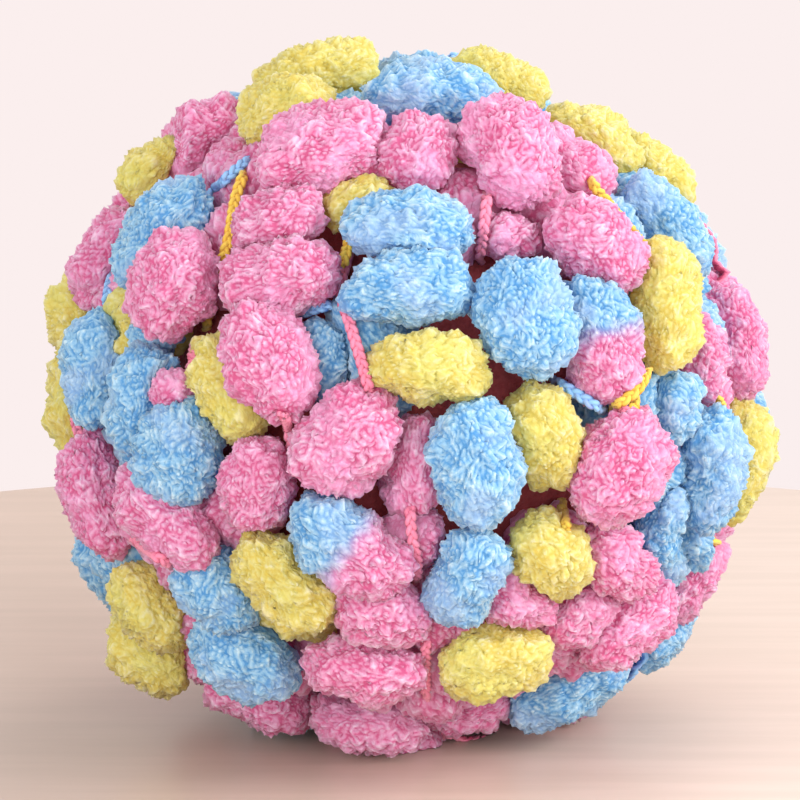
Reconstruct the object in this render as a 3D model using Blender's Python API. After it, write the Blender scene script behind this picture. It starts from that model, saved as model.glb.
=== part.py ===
"""A ball of chunky pompom yarn.

The yarn is a thin braided cord with a plump oval puff of fleece every few centimetres, dyed
in turns of pink, blue and yellow, and wound by hand into a round ball as big as two fists.
The ball is one closed solid: the outside of its top layer of puffs over the wound middle.
It stands on a small flat spot, where its own weight presses the lowest puffs level.

Metres, +Z up. The origin is under the middle of the ball, at table height, and -Y is the
front. Each puff of the front is a row in a table, and the rest follow a rule.
"""

import collections
import math

import bmesh
import bpy
import numpy as np

# The ball: half the width, depth and height of the layer that the puffs' middles lie on
MID_HEIGHT = 0.0875
CORE_RADIUS = 0.0700
LAYER_WIDE = 0.0865
LAYER_DEEP = 0.0815
LAYER_HIGH = 0.0830
ROUND_POWER = 2.0
SAG_POWER = 2.25

# The yarn's puffs
PUFF_LONG = 0.0345
PUFF_WIDE = 0.0230
PUFF_THICK_SHARE = 0.94
LONG_SPREAD = 0.0030
WIDE_SPREAD = 0.0018
PROUD_SPREAD = 0.0015

# Puffs that the front view hides: how many half puffs away the nearest middle has to be for
# another puff to go in the outer layer, and in the deeper one under its gaps
OUTER_ROOM = 1.58
DEEP_ROOM = 1.14
DEEP_PROUD = -0.0095
FRONT_EDGE = 0.12
SPOTS = 3000
TURN_STEPS = 12
NEIGHBOUR_REACH = 0.040

# The front view, which the table's places are read in
VIEW_RISE_DEG = 10.0
VIEW_DISTANCE = 0.800
VIEW_AIM_HEIGHT = 0.0895
SIGHT_REACH = 0.130
SIGHT_STEPS = 1301

# The solid
SPHERE_LEVEL = 7
TRIANGLES = 11000
FLAT_WITHIN = 0.0006

MM = 0.001
GOLDEN_TURN = math.pi * (3.0 - math.sqrt(5.0))

# Linear colours of the three dyes
DYES = {
    "pink": (0.86, 0.33, 0.53, 1.0),
    "blue": (0.28, 0.56, 0.84, 1.0),
    "yellow": (0.86, 0.78, 0.22, 1.0),
}
DYE_RUNS = ("pink", "pink", "pink", "blue", "yellow", "pink", "blue", "yellow", "pink", "blue")
FLEECE_ROUGHNESS = 0.95

# One row for each puff that the front shows, in millimetres and degrees. across and up are
# its middle from the ball's middle, and long and wide its size, all as the front view shows
# them; turn is its long way's slope, anticlockwise from level; proud is how far it stands
# out of the layer. A puff with two dyes changes from the first to the second along its turn.
Row = collections.namedtuple("Row", "dye, across, up, long, wide, turn, proud")
FRONT_PUFFS = (
    Row("yellow", -24, 84, 35, 22, 8, 4),
    Row("yellow", -32, 73, 29, 21, 5, 2),
    Row("blue", 6, 78, 39, 22, -2, 2),
    Row("yellow", 24, 83, 32, 20, -32, 2),
    Row("pink", -23, 63, 38, 26, 18, 4),
    Row("pink", 3, 62, 27, 23, 80, 0),
    Row("pink", 27, 63, 35, 26, -80, 5),
    Row("pink", 41, 59, 30, 20, -66, -2),
    Row("yellow", 49, 65, 32, 21, -25, -1),
    Row("yellow", 65, 58, 31, 22, -35, 1),
    Row("pink", -58, 65, 36, 22, 43, 3),
    Row("yellow", -70, 67, 32, 18, 48, 5),
    Row("pink", -46, 59, 20, 14, 60, -4),
    Row("blue", -64, 42, 38, 22, 43, 2),
    Row("pink", -81, 37, 34, 21, 62, 0),
    Row("pink", -61, 29, 31, 25, 65, 4),
    Row("pink", -34, 45, 30, 20, 0, 1),
    Row("pink", -34, 30, 34, 22, 5, 2),
    Row("yellow", -14, 49, 22, 16, 35, -4),
    Row("blue", 1, 43, 37, 22, -3, 3),
    Row("blue", 1, 27, 38, 22, 3, 4),
    Row("blue", 31, 19, 36, 27, -80, 6),
    Row("pink", 50, 38, 31, 25, -30, 3),
    Row("pink", 27, 41, 22, 15, 0, -4),
    Row("blue pink", 50, 14, 38, 23, -78, 2),
    Row("yellow", 68, 23, 39, 22, 76, 3),
    Row("blue", 68, 44, 36, 19, -38, 0),
    Row("pink", 87, 12, 34, 21, -75, 0),
    Row("pink", 77, 9, 26, 16, 88, -3),
    Row("yellow", 92, -18, 38, 20, 82, 1),
    Row("blue", 70, -4, 23, 18, 60, -2),
    Row("blue", 80, -21, 35, 21, -80, 2),
    Row("blue", 75, -39, 22, 16, -30, -3),
    Row("pink", 56, -20, 36, 26, 62, 6),
    Row("yellow", 36, -12, 31, 23, -68, 0),
    Row("blue", 18, -18, 36, 25, 95, 6),
    Row("yellow", 6, 6, 33, 22, -5, 5),
    Row("pink", -36, 8, 36, 25, -55, 5),
    Row("blue", -20, 9, 26, 18, 88, -6),
    Row("yellow", -47, 1, 33, 21, -60, -1),
    Row("blue", -82, 6, 34, 21, 85, 1),
    Row("blue", -69, -2, 32, 21, 65, 2),
    Row("blue", -66, 15, 22, 15, 10, -4),
    Row("yellow", -72, 14, 16, 11, 80, -3),
    Row("pink", -63, 0, 20, 15, 5, 2),
    Row("blue", -60, -16, 31, 25, 82, 3),
    Row("pink", -82, -27, 36, 21, -68, 1),
    Row("blue", -80, -50, 24, 15, -20, -2),
    Row("pink", -63, -33, 37, 23, -35, 3),
    Row("pink", -40, -24, 30, 21, 80, 2),
    Row("pink", -16, -13, 36, 26, 48, 3),
    Row("pink", 2, -20, 31, 19, 85, -4),
    Row("pink", 0, -39, 28, 19, 80, -6),
    Row("blue pink", -16, -41, 39, 24, -38, 4),
    Row("yellow", -32, -50, 36, 21, -42, 2),
    Row("yellow", -67, -57, 29, 21, -70, 1),
    Row("yellow", -71, -72, 28, 21, -40, 6),
    Row("blue", -50, -53, 28, 21, -60, 1),
    Row("blue", -43, -70, 34, 23, -15, 2),
    Row("pink", -6, -58, 29, 20, -15, 1),
    Row("pink", -11, -73, 34, 20, -5, 3),
    Row("pink", -10, -87, 34, 19, -3, 1),
    Row("pink", -42, -84, 35, 20, -12, 0),
    Row("pink", -60, -77, 26, 17, -55, -2),
    Row("blue", 16, -48, 32, 21, 75, 2),
    Row("yellow", 38, -43, 28, 22, -60, 3),
    Row("pink", 29, -54, 28, 19, -35, -1),
    Row("yellow", 22, -71, 33, 22, 5, 3),
    Row("blue", 42, -79, 39, 21, 8, 0),
    Row("pink", 16, -87, 29, 17, 0, -2),
    Row("pink", 55, -44, 28, 20, -40, 0),
    Row("pink", 58, -61, 34, 21, 15, 1),
    Row("pink", 74, -50, 30, 19, 65, -1),
    Row("blue", 67, -35, 25, 16, 80, -3),
    Row("pink", 44, -58, 26, 19, 50, -2),
    Row("yellow", -92, -1, 40, 18, 88, 0),
)

# A puff: its middle, its long, wide and outward ways as rows, half its size along each, and
# its dye.
Puff = collections.namedtuple("Puff", "middle, ways, half, dye")

MIDDLE = np.array((0.0, 0.0, MID_HEIGHT))
LAYER = np.array((LAYER_WIDE, LAYER_DEEP, LAYER_HIGH))


def clear_scene():
    for obj in list(bpy.data.objects):
        bpy.data.objects.remove(obj, do_unlink=True)


def unit(vector):
    return vector / np.linalg.norm(vector)


def view_ways():
    """Right, up and forward of the front view."""
    rise = math.radians(VIEW_RISE_DEG)
    right = np.array((1.0, 0.0, 0.0))
    up = np.array((0.0, math.sin(rise), math.cos(rise)))
    forward = np.array((0.0, math.cos(rise), -math.sin(rise)))
    return right, up, forward


def power_at(height):
    """The layer is round above its middle and squarer below, where the ball sags."""
    return np.where(height < 0.0, SAG_POWER, ROUND_POWER)


def fullness(places, proud):
    """One on the layer that the puffs' middles lie on, less inside it and more outside."""
    x, y, z = ((places - MIDDLE) / (LAYER + proud)).T
    power = power_at(z)
    return np.hypot(x, y) ** power + np.abs(z) ** power


def onto_layer(places, proud):
    """The places drawn out or in to the layer, along the way to the ball's middle."""
    power = power_at((places - MIDDLE).T[2])
    share = fullness(places, proud) ** (-1.0 / power)
    return MIDDLE + (places - MIDDLE) * np.expand_dims(share, -1)


def outward(spot):
    x, y, z = (spot - MIDDLE) / LAYER
    power = float(power_at(z))
    level = math.hypot(x, y) ** (power - 2.0)
    rise = math.copysign(abs(z) ** (power - 1.0), z)
    return unit(np.array((x * level, y * level, rise)) / LAYER)


def seen_spot(across, up_by, proud):
    """The place on the near side of the layer that the front view shows there, or the nearest
    place on the layer's outline for a puff that reaches past it. Also how much larger or
    smaller a thing there is than it would look at the ball's middle."""
    right, up, forward = view_ways()
    aim = np.array((0.0, 0.0, VIEW_AIM_HEIGHT))
    eye = aim - VIEW_DISTANCE * forward
    way = unit(aim + across * right + up_by * up - eye)
    reach = VIEW_DISTANCE + np.linspace(-SIGHT_REACH, SIGHT_REACH, SIGHT_STEPS)
    places = eye + reach[:, None] * way
    full = fullness(places, proud)
    inside = np.flatnonzero(full < 1.0)
    nearest = inside[0] if len(inside) else int(np.argmin(full))
    spot = onto_layer(places[nearest], proud)
    return spot, (spot - eye) @ forward / VIEW_DISTANCE


def puff_at(spot, way, long, wide, dye):
    """A puff with its middle there, its long way as near to the given way as the layer allows."""
    out = outward(spot)
    along = unit(way - (way @ out) * out)
    ways = np.array((along, np.cross(out, along), out))
    half = np.array((long, wide, wide * PUFF_THICK_SHARE)) / 2.0
    return Puff(spot, ways, half, dye)


def front_puffs():
    right, up, _ = view_ways()
    puffs = []
    for row in FRONT_PUFFS:
        turn = math.radians(row.turn)
        spot, scale = seen_spot(row.across * MM, row.up * MM, row.proud * MM)
        way = math.cos(turn) * right + math.sin(turn) * up
        scale *= MM
        puffs.append(puff_at(spot, way, row.long * scale, row.wide * scale, row.dye))
    return puffs


def even_spots():
    """Spots spread evenly over the whole layer by a golden spiral."""
    count = np.arange(SPOTS)
    height = 1.0 - (2.0 * count + 1.0) / SPOTS
    radius = np.sqrt(1.0 - height**2)
    turn = count * GOLDEN_TURN
    ways = np.stack((radius * np.cos(turn), radius * np.sin(turn), height), axis=1)
    return onto_layer(MIDDLE + ways * LAYER, 0.0)


def open_way(spot, placed):
    """The way along the layer in which a new puff has the most room for its long side."""
    out = outward(spot)
    across = unit(np.cross(np.array((0.3, 0.2, 1.0)), out))
    up = np.cross(out, across)
    gaps = placed - spot
    gaps = gaps[np.linalg.norm(gaps, axis=1) < NEIGHBOUR_REACH]
    best_way = across
    least = math.inf
    for step in range(TURN_STEPS):
        turn = math.pi * step / TURN_STEPS
        way = math.cos(turn) * across + math.sin(turn) * up
        crowding = float(np.sum((gaps @ way) ** 2 / np.sum(gaps * gaps, axis=1) ** 2))
        if crowding < least:
            least = crowding
            best_way = way
    return best_way


def wave(count, step):
    """A number from -1 to 1 that goes up and down from one puff to the next."""
    return math.sin(count * step)


def room_from(puff, spots):
    """How many times half the puff's size each spot is from its middle."""
    gaps = (spots - puff.middle) @ puff.ways[:2].T / puff.half[:2]
    same_side = (spots - MIDDLE) @ puff.ways[2] > 0.0
    return np.where(same_side, np.linalg.norm(gaps, axis=1), math.inf)


def hidden_puffs(seen):
    """Puffs for the sides, top, back and underside, then the deeper ones that show in the
    gaps all round. Each goes where there is most room, starting with the one that the ball
    stands on."""
    _, _, forward = view_ways()
    spots = even_spots()
    behind = np.array([outward(spot) @ forward for spot in spots]) > -FRONT_EDGE
    placed = [puff.middle for puff in seen]
    room = np.min([room_from(puff, spots) for puff in seen], axis=0)
    puffs = []
    spot = MIDDLE - np.array((0.0, 0.0, LAYER_HIGH))
    dye = DYE_RUNS[0]
    while True:
        count = len(puffs)
        long = PUFF_LONG + LONG_SPREAD * wave(count, 1.7)
        wide = PUFF_WIDE + WIDE_SPREAD * wave(count, 4.1)
        way = open_way(spot, np.array(placed))
        puff = puff_at(spot, way, long, wide, dye)
        puffs.append(puff)
        placed.append(spot)
        room = np.minimum(room, room_from(puff, spots))
        furthest = int(np.argmax(np.where(behind, room, 0.0)))
        if room[furthest] > OUTER_ROOM:
            spot = onto_layer(spots[furthest], PROUD_SPREAD * wave(count, 2.3))
            dye = DYE_RUNS[len(puffs) % len(DYE_RUNS)]
            continue
        furthest = int(np.argmax(room))
        if room[furthest] < DEEP_ROOM:
            return puffs
        spot = onto_layer(spots[furthest], DEEP_PROUD)
        gaps = [np.linalg.norm(other.middle - spot) for other in seen + puffs]
        dye = (seen + puffs)[int(np.argmin(gaps))].dye.split()[0]


def reach_of(puffs, ways):
    """How far from the ball's middle the puffs reach along each way, and which puff does."""
    reach = np.full(len(ways), CORE_RADIUS)
    owner = np.zeros(len(ways), int)
    for index, puff in enumerate(puffs):
        start = puff.ways @ (MIDDLE - puff.middle) / puff.half
        step = ways @ puff.ways.T / puff.half
        a = np.sum(step * step, axis=1)
        b = step @ start
        room = b * b - a * (start @ start - 1.0)
        far = (-b + np.sqrt(np.maximum(room, 0.0))) / a
        wins = (room > 0.0) & (far > reach)
        reach[wins] = far[wins]
        owner[wins] = index
    return reach, owner


def wound_mesh(puffs):
    """A fine round ball whose points are drawn out to the puffs, and never below the table."""
    ball = bmesh.new()
    bmesh.ops.create_icosphere(ball, subdivisions=SPHERE_LEVEL, radius=1.0)
    ways = np.array([vertex.co[:] for vertex in ball.verts])
    ways /= np.linalg.norm(ways, axis=1, keepdims=True)
    reach, _ = reach_of(puffs, ways)
    down = np.maximum(-ways[:, 2], 1e-6)
    reach = np.minimum(reach, MID_HEIGHT / down)
    for vertex, place in zip(ball.verts, ways * reach[:, None] + MIDDLE):
        vertex.co = place
    mesh = bpy.data.meshes.new("yarn_ball_fine")
    ball.to_mesh(mesh)
    ball.free()
    return mesh


def fleece(dye):
    """The plain material of one dye."""
    material = bpy.data.materials.new(dye + "_fleece")
    material.use_nodes = True
    surface = material.node_tree.nodes["Principled BSDF"]
    surface.inputs["Base Color"].default_value = DYES[dye]
    surface.inputs["Roughness"].default_value = FLEECE_ROUGHNESS
    surface.inputs["Metallic"].default_value = 0.0
    material.diffuse_color = DYES[dye]
    return material


def thinned(fine, collection):
    """The ball with its triangles kept where it curves most."""
    ball = bpy.data.objects.new("yarn_ball", fine)
    collection.objects.link(ball)
    thin = ball.modifiers.new("fewer_triangles", "DECIMATE")
    thin.ratio = TRIANGLES / len(fine.polygons)
    graph = bpy.context.evaluated_depsgraph_get()
    mesh = bpy.data.meshes.new_from_object(ball.evaluated_get(graph))
    ball.modifiers.clear()
    ball.data = mesh
    bpy.data.meshes.remove(fine)
    mesh.name = ball.name
    return ball


def centre_and_level(mesh):
    """Puts the origin under the middle of the ball's box and makes its flat spot level."""
    places = np.array([vertex.co[:] for vertex in mesh.vertices])
    middle = (places.max(axis=0) + places.min(axis=0)) / 2.0
    for vertex, place in zip(mesh.vertices, places):
        level = 0.0 if place[2] < FLAT_WITHIN else place[2]
        vertex.co = (place[0] - middle[0], place[1] - middle[1], level)
    mesh.update()


def dye_there(puff, place):
    """The puff's dye at a place: the second of two is on the half that its long way points to."""
    past_middle = (np.array(place) - puff.middle) @ puff.ways[0] > 0.0
    return puff.dye.split()[-1 if past_middle else 0]


def colour_by_puff(mesh, puffs):
    """Gives each face the dye of the puff that it belongs to."""
    names = list(DYES)
    for dye in names:
        mesh.materials.append(fleece(dye))
    centres = np.array([face.center[:] for face in mesh.polygons]) - MIDDLE
    ways = centres / np.linalg.norm(centres, axis=1, keepdims=True)
    _, owner = reach_of(puffs, ways)
    for face, index in zip(mesh.polygons, owner):
        face.material_index = names.index(dye_there(puffs[index], face.center))


def build():
    clear_scene()
    collection = bpy.data.collections.new("pompom_yarn_ball")
    bpy.context.scene.collection.children.link(collection)
    seen = front_puffs()
    puffs = seen + hidden_puffs(seen)
    ball = thinned(wound_mesh(puffs), collection)
    centre_and_level(ball.data)
    colour_by_puff(ball.data, puffs)
    ball.data.shade_smooth()
    print(len(seen), "puffs in the table and", len(puffs) - len(seen), "by the rule")


build()
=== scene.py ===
"""Looks for a ball of chunky pompom yarn: its fleece puffs, the braided cord between them, and
a plain table with soft light. It is laid out as a Blender add-on and run as a script.

Metres, +Z up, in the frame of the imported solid. The puffs lie where the solid's do: each puff
of the front is a row in a table, and the rest follow a rule. A puff is a lumpy oval cushion
that gives way where it touches its neighbours. Where it can be seen, it is covered in fleece:
small leaning curls that stand on clumps.
"""

import collections
import functools
import math

import bmesh
import bpy
import numpy as np
from bpy.props import EnumProperty, FloatProperty, FloatVectorProperty, PointerProperty
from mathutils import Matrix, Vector, noise
from mathutils.bvhtree import BVHTree
from mathutils.kdtree import KDTree


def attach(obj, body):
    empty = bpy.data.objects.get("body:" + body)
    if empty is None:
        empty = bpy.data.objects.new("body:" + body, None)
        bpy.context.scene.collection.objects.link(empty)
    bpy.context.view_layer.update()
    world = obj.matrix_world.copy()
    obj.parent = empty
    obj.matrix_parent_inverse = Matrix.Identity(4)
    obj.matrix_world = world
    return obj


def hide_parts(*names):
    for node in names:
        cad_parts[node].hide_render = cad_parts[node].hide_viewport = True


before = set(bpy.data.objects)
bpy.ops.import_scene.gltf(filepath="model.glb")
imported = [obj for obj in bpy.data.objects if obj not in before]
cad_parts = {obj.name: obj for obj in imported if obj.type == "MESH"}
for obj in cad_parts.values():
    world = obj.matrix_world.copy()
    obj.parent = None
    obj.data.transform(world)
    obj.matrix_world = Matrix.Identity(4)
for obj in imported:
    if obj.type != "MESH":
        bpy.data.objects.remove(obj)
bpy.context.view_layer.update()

bl_info = {
    "name": "Pompom yarn ball",
    "version": (1, 0, 0),
    "blender": (4, 5, 0),
    "location": "View3D > Sidebar > Yarn",
    "description": "Dresses a wound ball of chunky pompom yarn in fleece and braided cord",
    "category": "Object",
}

NODE = "yarn_ball"
BODY = "root"
MM = 0.001

# The ball: half the width, depth and height of the layer that the puffs' middles lie on
MID_HEIGHT = 0.0875
LAYER = np.array((0.0865, 0.0815, 0.0830))
ROUND_POWER = 2.0
SAG_POWER = 2.25
MIDDLE = np.array((0.0, 0.0, MID_HEIGHT))

# Puffs that the front view hides
PUFF_LONG = 0.0345
PUFF_WIDE = 0.0230
PUFF_THICK_SHARE = 0.94
LONG_SPREAD = 0.0030
WIDE_SPREAD = 0.0018
PROUD_SPREAD = 0.0015
OUTER_ROOM = 1.58
DEEP_ROOM = 1.14
DEEP_PROUD = -0.0095
FRONT_EDGE = 0.12
SPOTS = 3000
TURN_STEPS = 12
SLANT = np.array((0.3, 0.2, 1.0))
NEIGHBOUR_REACH = 0.040
GOLDEN_TURN = math.pi * (3.0 - math.sqrt(5.0))

# How quickly these go up and down from one puff, or one length of cord, to the next
LONG_WAVE = 1.7
WIDE_WAVE = 4.1
PROUD_WAVE = 2.3
BOW_WAVE = 2.9

# The dyes of the hidden puffs, in turn
DYE_RUNS = ("pink", "pink", "pink", "blue", "yellow", "pink", "blue", "yellow", "pink", "blue")

# The front view, which the tables' places are read in
VIEW_RISE_DEG = 10.0
VIEW_DISTANCE = 0.800
VIEW_AIM_HEIGHT = 0.0895
SIGHT_REACH = 0.130
SIGHT_STEPS = 1301

# One row for each puff that the front shows, in millimetres and degrees. across and up are
# its middle from the ball's middle, and long and wide its size, all as the front view shows
# them; turn is its long way's slope, anticlockwise from level; proud is how far it stands
# out of the layer. A puff with two dyes changes from the first to the second along its turn.
Row = collections.namedtuple("Row", "dye, across, up, long, wide, turn, proud")
FRONT_PUFFS = (
    Row("yellow", -24, 84, 35, 22, 8, 4),
    Row("yellow", -32, 73, 29, 21, 5, 2),
    Row("blue", 6, 78, 39, 22, -2, 2),
    Row("yellow", 24, 83, 32, 20, -32, 2),
    Row("pink", -23, 63, 38, 26, 18, 4),
    Row("pink", 3, 62, 27, 23, 80, 0),
    Row("pink", 27, 63, 35, 26, -80, 5),
    Row("pink", 41, 59, 30, 20, -66, -2),
    Row("yellow", 49, 65, 32, 21, -25, -1),
    Row("yellow", 65, 58, 31, 22, -35, 1),
    Row("pink", -58, 65, 36, 22, 43, 3),
    Row("yellow", -70, 67, 32, 18, 48, 5),
    Row("pink", -46, 59, 20, 14, 60, -4),
    Row("blue", -64, 42, 38, 22, 43, 2),
    Row("pink", -81, 37, 34, 21, 62, 0),
    Row("pink", -61, 29, 31, 25, 65, 4),
    Row("pink", -34, 45, 30, 20, 0, 1),
    Row("pink", -34, 30, 34, 22, 5, 2),
    Row("yellow", -14, 49, 22, 16, 35, -4),
    Row("blue", 1, 43, 37, 22, -3, 3),
    Row("blue", 1, 27, 38, 22, 3, 4),
    Row("blue", 31, 19, 36, 27, -80, 6),
    Row("pink", 50, 38, 31, 25, -30, 3),
    Row("pink", 27, 41, 22, 15, 0, -4),
    Row("blue pink", 50, 14, 38, 23, -78, 2),
    Row("yellow", 68, 23, 39, 22, 76, 3),
    Row("blue", 68, 44, 36, 19, -38, 0),
    Row("pink", 87, 12, 34, 21, -75, 0),
    Row("pink", 77, 9, 26, 16, 88, -3),
    Row("yellow", 92, -18, 38, 20, 82, 1),
    Row("blue", 70, -4, 23, 18, 60, -2),
    Row("blue", 80, -21, 35, 21, -80, 2),
    Row("blue", 75, -39, 22, 16, -30, -3),
    Row("pink", 56, -20, 36, 26, 62, 6),
    Row("yellow", 36, -12, 31, 23, -68, 0),
    Row("blue", 18, -18, 36, 25, 95, 6),
    Row("yellow", 6, 6, 33, 22, -5, 5),
    Row("pink", -36, 8, 36, 25, -55, 5),
    Row("blue", -20, 9, 26, 18, 88, -6),
    Row("yellow", -47, 1, 33, 21, -60, -1),
    Row("blue", -82, 6, 34, 21, 85, 1),
    Row("blue", -69, -2, 32, 21, 65, 2),
    Row("blue", -66, 15, 22, 15, 10, -4),
    Row("yellow", -72, 14, 16, 11, 80, -3),
    Row("pink", -63, 0, 20, 15, 5, 2),
    Row("blue", -60, -16, 31, 25, 82, 3),
    Row("pink", -82, -27, 36, 21, -68, 1),
    Row("blue", -80, -50, 24, 15, -20, -2),
    Row("pink", -63, -33, 37, 23, -35, 3),
    Row("pink", -40, -24, 30, 21, 80, 2),
    Row("pink", -16, -13, 36, 26, 48, 3),
    Row("pink", 2, -20, 31, 19, 85, -4),
    Row("pink", 0, -39, 28, 19, 80, -6),
    Row("blue pink", -16, -41, 39, 24, -38, 4),
    Row("yellow", -32, -50, 36, 21, -42, 2),
    Row("yellow", -67, -57, 29, 21, -70, 1),
    Row("yellow", -71, -72, 28, 21, -40, 6),
    Row("blue", -50, -53, 28, 21, -60, 1),
    Row("blue", -43, -70, 34, 23, -15, 2),
    Row("pink", -6, -58, 29, 20, -15, 1),
    Row("pink", -11, -73, 34, 20, -5, 3),
    Row("pink", -10, -87, 34, 19, -3, 1),
    Row("pink", -42, -84, 35, 20, -12, 0),
    Row("pink", -60, -77, 26, 17, -55, -2),
    Row("blue", 16, -48, 32, 21, 75, 2),
    Row("yellow", 38, -43, 28, 22, -60, 3),
    Row("pink", 29, -54, 28, 19, -35, -1),
    Row("yellow", 22, -71, 33, 22, 5, 3),
    Row("blue", 42, -79, 39, 21, 8, 0),
    Row("pink", 16, -87, 29, 17, 0, -2),
    Row("pink", 55, -44, 28, 20, -40, 0),
    Row("pink", 58, -61, 34, 21, 15, 1),
    Row("pink", 74, -50, 30, 19, 65, -1),
    Row("blue", 67, -35, 25, 16, 80, -3),
    Row("pink", 44, -58, 26, 19, 50, -2),
    Row("yellow", -92, -1, 40, 18, 88, 0),
)

# The lengths of cord that the front shows: the dye, then two or more places along it, each
# across and up in millimetres from the ball's middle as the front view shows them, and how
# far it stands out over what it crosses.
Link = collections.namedtuple("Link", "dye, route, proud", defaults=(0,))
FRONT_LINKS = (
    Link("blue", ((-54.5, 49.5), (-46.5, 57.0), (-40.0, 62.5))),
    Link("yellow", ((-42.0, 59.5), (-45.0, 51.2), (-47.1, 39.5), (-50.7, 28.6), (-53.3, 14.5))),
    Link("pink", ((-55.5, 14.0), (-57.4, 3.8))),
    Link("blue", ((-77.6, 32.0), (-79.5, 20.5))),
    Link("pink", ((-87.8, -5.5), (-85.8, -13.5))),
    Link("pink", ((-14.6, 39.0), (-17.4, 27.3), (-14.8, 17.2), (-11.2, 5.2), (-9.6, -2.0))),
    Link("yellow", ((-15.0, 40.5), (-17.6, 30.5)), 3),
    Link("blue", ((-30.5, 19.0), (-24.5, 21.7), (-18.0, 23.3)), 3),
    Link("pink", ((-33.0, -5.0), (-31.0, -11.0), (-30.2, -17.5)), 6),
    Link("pink", ((21.4, 54.5), (19.0, 32.5)), 3),
    Link("yellow", ((46.8, 57.0), (55.1, 46.8), (64.0, 36.4))),
    Link("blue", ((37.0, 4.0), (45.5, -1.2), (53.5, -6.2)), 10),
    Link("yellow", ((64.0, 7.5), (60.5, 0.5), (52.0, -5.5)), 8),
    Link("yellow", ((59.8, 1.0), (59.8, -7.0))),
    Link("pink", ((55.4, -2.2), (58.6, -7.0))),
    Link("yellow", ((80.2, 0.0), (83.6, -4.6))),
    Link("yellow", ((40.2, -27.0), (42.3, -38.5))),
    Link("pink", ((0.6, -28.0), (1.3, -37.7), (2.6, -44.2), (2.6, -51.5))),
    Link("pink", ((4.9, -63.5), (4.9, -82.0))),
    Link("pink", ((-73.0, -38.0), (-64.5, -44.2), (-59.4, -46.6))),
    Link("yellow", ((79.0, -37.5), (81.6, -40.4))),
)

# Cord that the front view hides: the gap between two puffs' ends that a length of it spans,
# where on a puff its end is, how far it goes on past there, and how far it bows to one side
GAP_LEAST = 0.006
GAP_MOST = 0.026
LINKS_MOST = 60
FACING_LEAST = -0.05
END_SHARE = 0.86
PAST_END = 0.12
BOW = 0.003
LINK_STEPS_LEAST = 6

# A puff's soft core, and how it gives way where others press on it
CORE_LEVEL = 3
SOFTEST = 14.0
LEAST_KEPT = 0.35
LEAST_SHARE = 0.05
TINY = 1e-9
BEND_RADIUS = 0.120
FOLD_SHARE = 0.55
LARGE_LUMP_TIMES = 1.9
LARGE_LUMP_SEED = 31.0
SEED_STEP = 17.0
WAYS_SEED = 5
CLEAR_OF_TABLE = 0.0002

# Where a puff's curls are.
SPREAD_STEPS = 401
HEX_SHARE = 0.866
JITTER = 0.24
DEEP_TIMES = 1.35

# A curl is seen if light gets straight out from it, or out at this slant some way round
SIGHT_LIFT = 0.0022
SIGHT_TILT_DEG = 52.0
SIGHT_WAYS = 6
SIGHT_SLANT = np.array((0.31, 0.22, 0.93))

# Dyes: the border of two in one puff, and the slow changes of each
MIX_WIDTH = 0.0032
MIX_WANDER = 0.0022
MIX_NOISE_SIZE = 0.004
TINT_SIZE = 0.011
TINT_REACH = 0.9

# Clumps, and the fleece pressed down under cord
CLUMP_WARP = 0.45
CLUMP_WARP_TIMES = 0.8
CLUMP_FULL = 0.70
PRESSED_WITHIN = 0.0030
PRESSED_DEPTH = 0.0010
PRESSED_FLAT = 0.8

# How far up the pile a place looks, which picks its colour from painted shade low down to a
# painted highlight on top: by its curl, more so on a clump, by its clump, and less where it is
# pressed, as painted shade under the cord
PILE_CURL = 0.70
PILE_CURL_ON_CLUMP = 0.30
PILE_CLUMP = 0.12
PILE_PRESSED = 0.2

# Curls run together along the way that the fleece lies, and are apart across it
GRAIN_LOW = 0.50
GRAIN_HIGH = 0.95
JOIN_MOST = 0.85
JOIN_LEAST = 0.12
TOP_LEAST = 0.60
SHADED_LOW = 0.25
SHADED_HIGH = 0.60

# The wound middle: the ball's core, coloured dark as painted shade deep in the gaps
INNER_LEVEL = 5
INNER_LUMP_SIZE = 0.006
INNER_LUMP_HEIGHT = 0.0022
INNER_SEED = 3.0

# Unwrapping: the part of its square in a piece's map that a puff uses
TILE_USED = 0.92

# A piece has no more puffs than this, so that it keeps under 200,000 triangles
PUFFS_A_PIECE = 32

# Braid: a strand's radius, and how far it swings to the side and up, by the cord's width
STRANDS = 3
STRAND_SIDES = 6
STRAND_SHARE = 0.225
SWING_SHARE = 0.29
RISE_SHARE = 0.19
# A strand's pile is higher on its top and where it rises over the others, so that painted shade
# lies under and between the strands
STRAND_PILE = 0.5
STRAND_PILE_ROUND = 0.30
STRAND_PILE_RISE = 0.35
CORD_TINT_SIZE = 0.006
CORD_TINT_REACH = 0.5

# How a cord lies: how finely its line is worked out, how far it is rounded off, how far it may
# hang over a hollow, and how its ends go down into the fleece
CORD_STEP = 0.0007
CORD_SMOOTH = 0.0018
CORD_CLEAR_MOST = 0.0060
CORD_SINK = 0.0050
CORD_SINK_ALONG = 0.0045

# The fleece's fine pattern: how many of each there are to a metre, and how far curls wander
WANDER_SCALE = 700.0
WANDER = 0.0011
CURL_SCALE = 820.0
CURL_FULL = 0.32
PATCH_SCALE = 260.0
FIBRE_SCALE = 2300.0
CORD_FIBRE_SCALE = 2600.0

# How much each of these moves a place up or down the pile, and how much fibres stand out
CURL_LOFT = 0.16
PATCH_LOFT = 0.50
FIBRE_LOFT = 0.20
CORD_FIBRE_LOFT = 0.40
FIBRE_HEIGHT = 0.35

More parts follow.
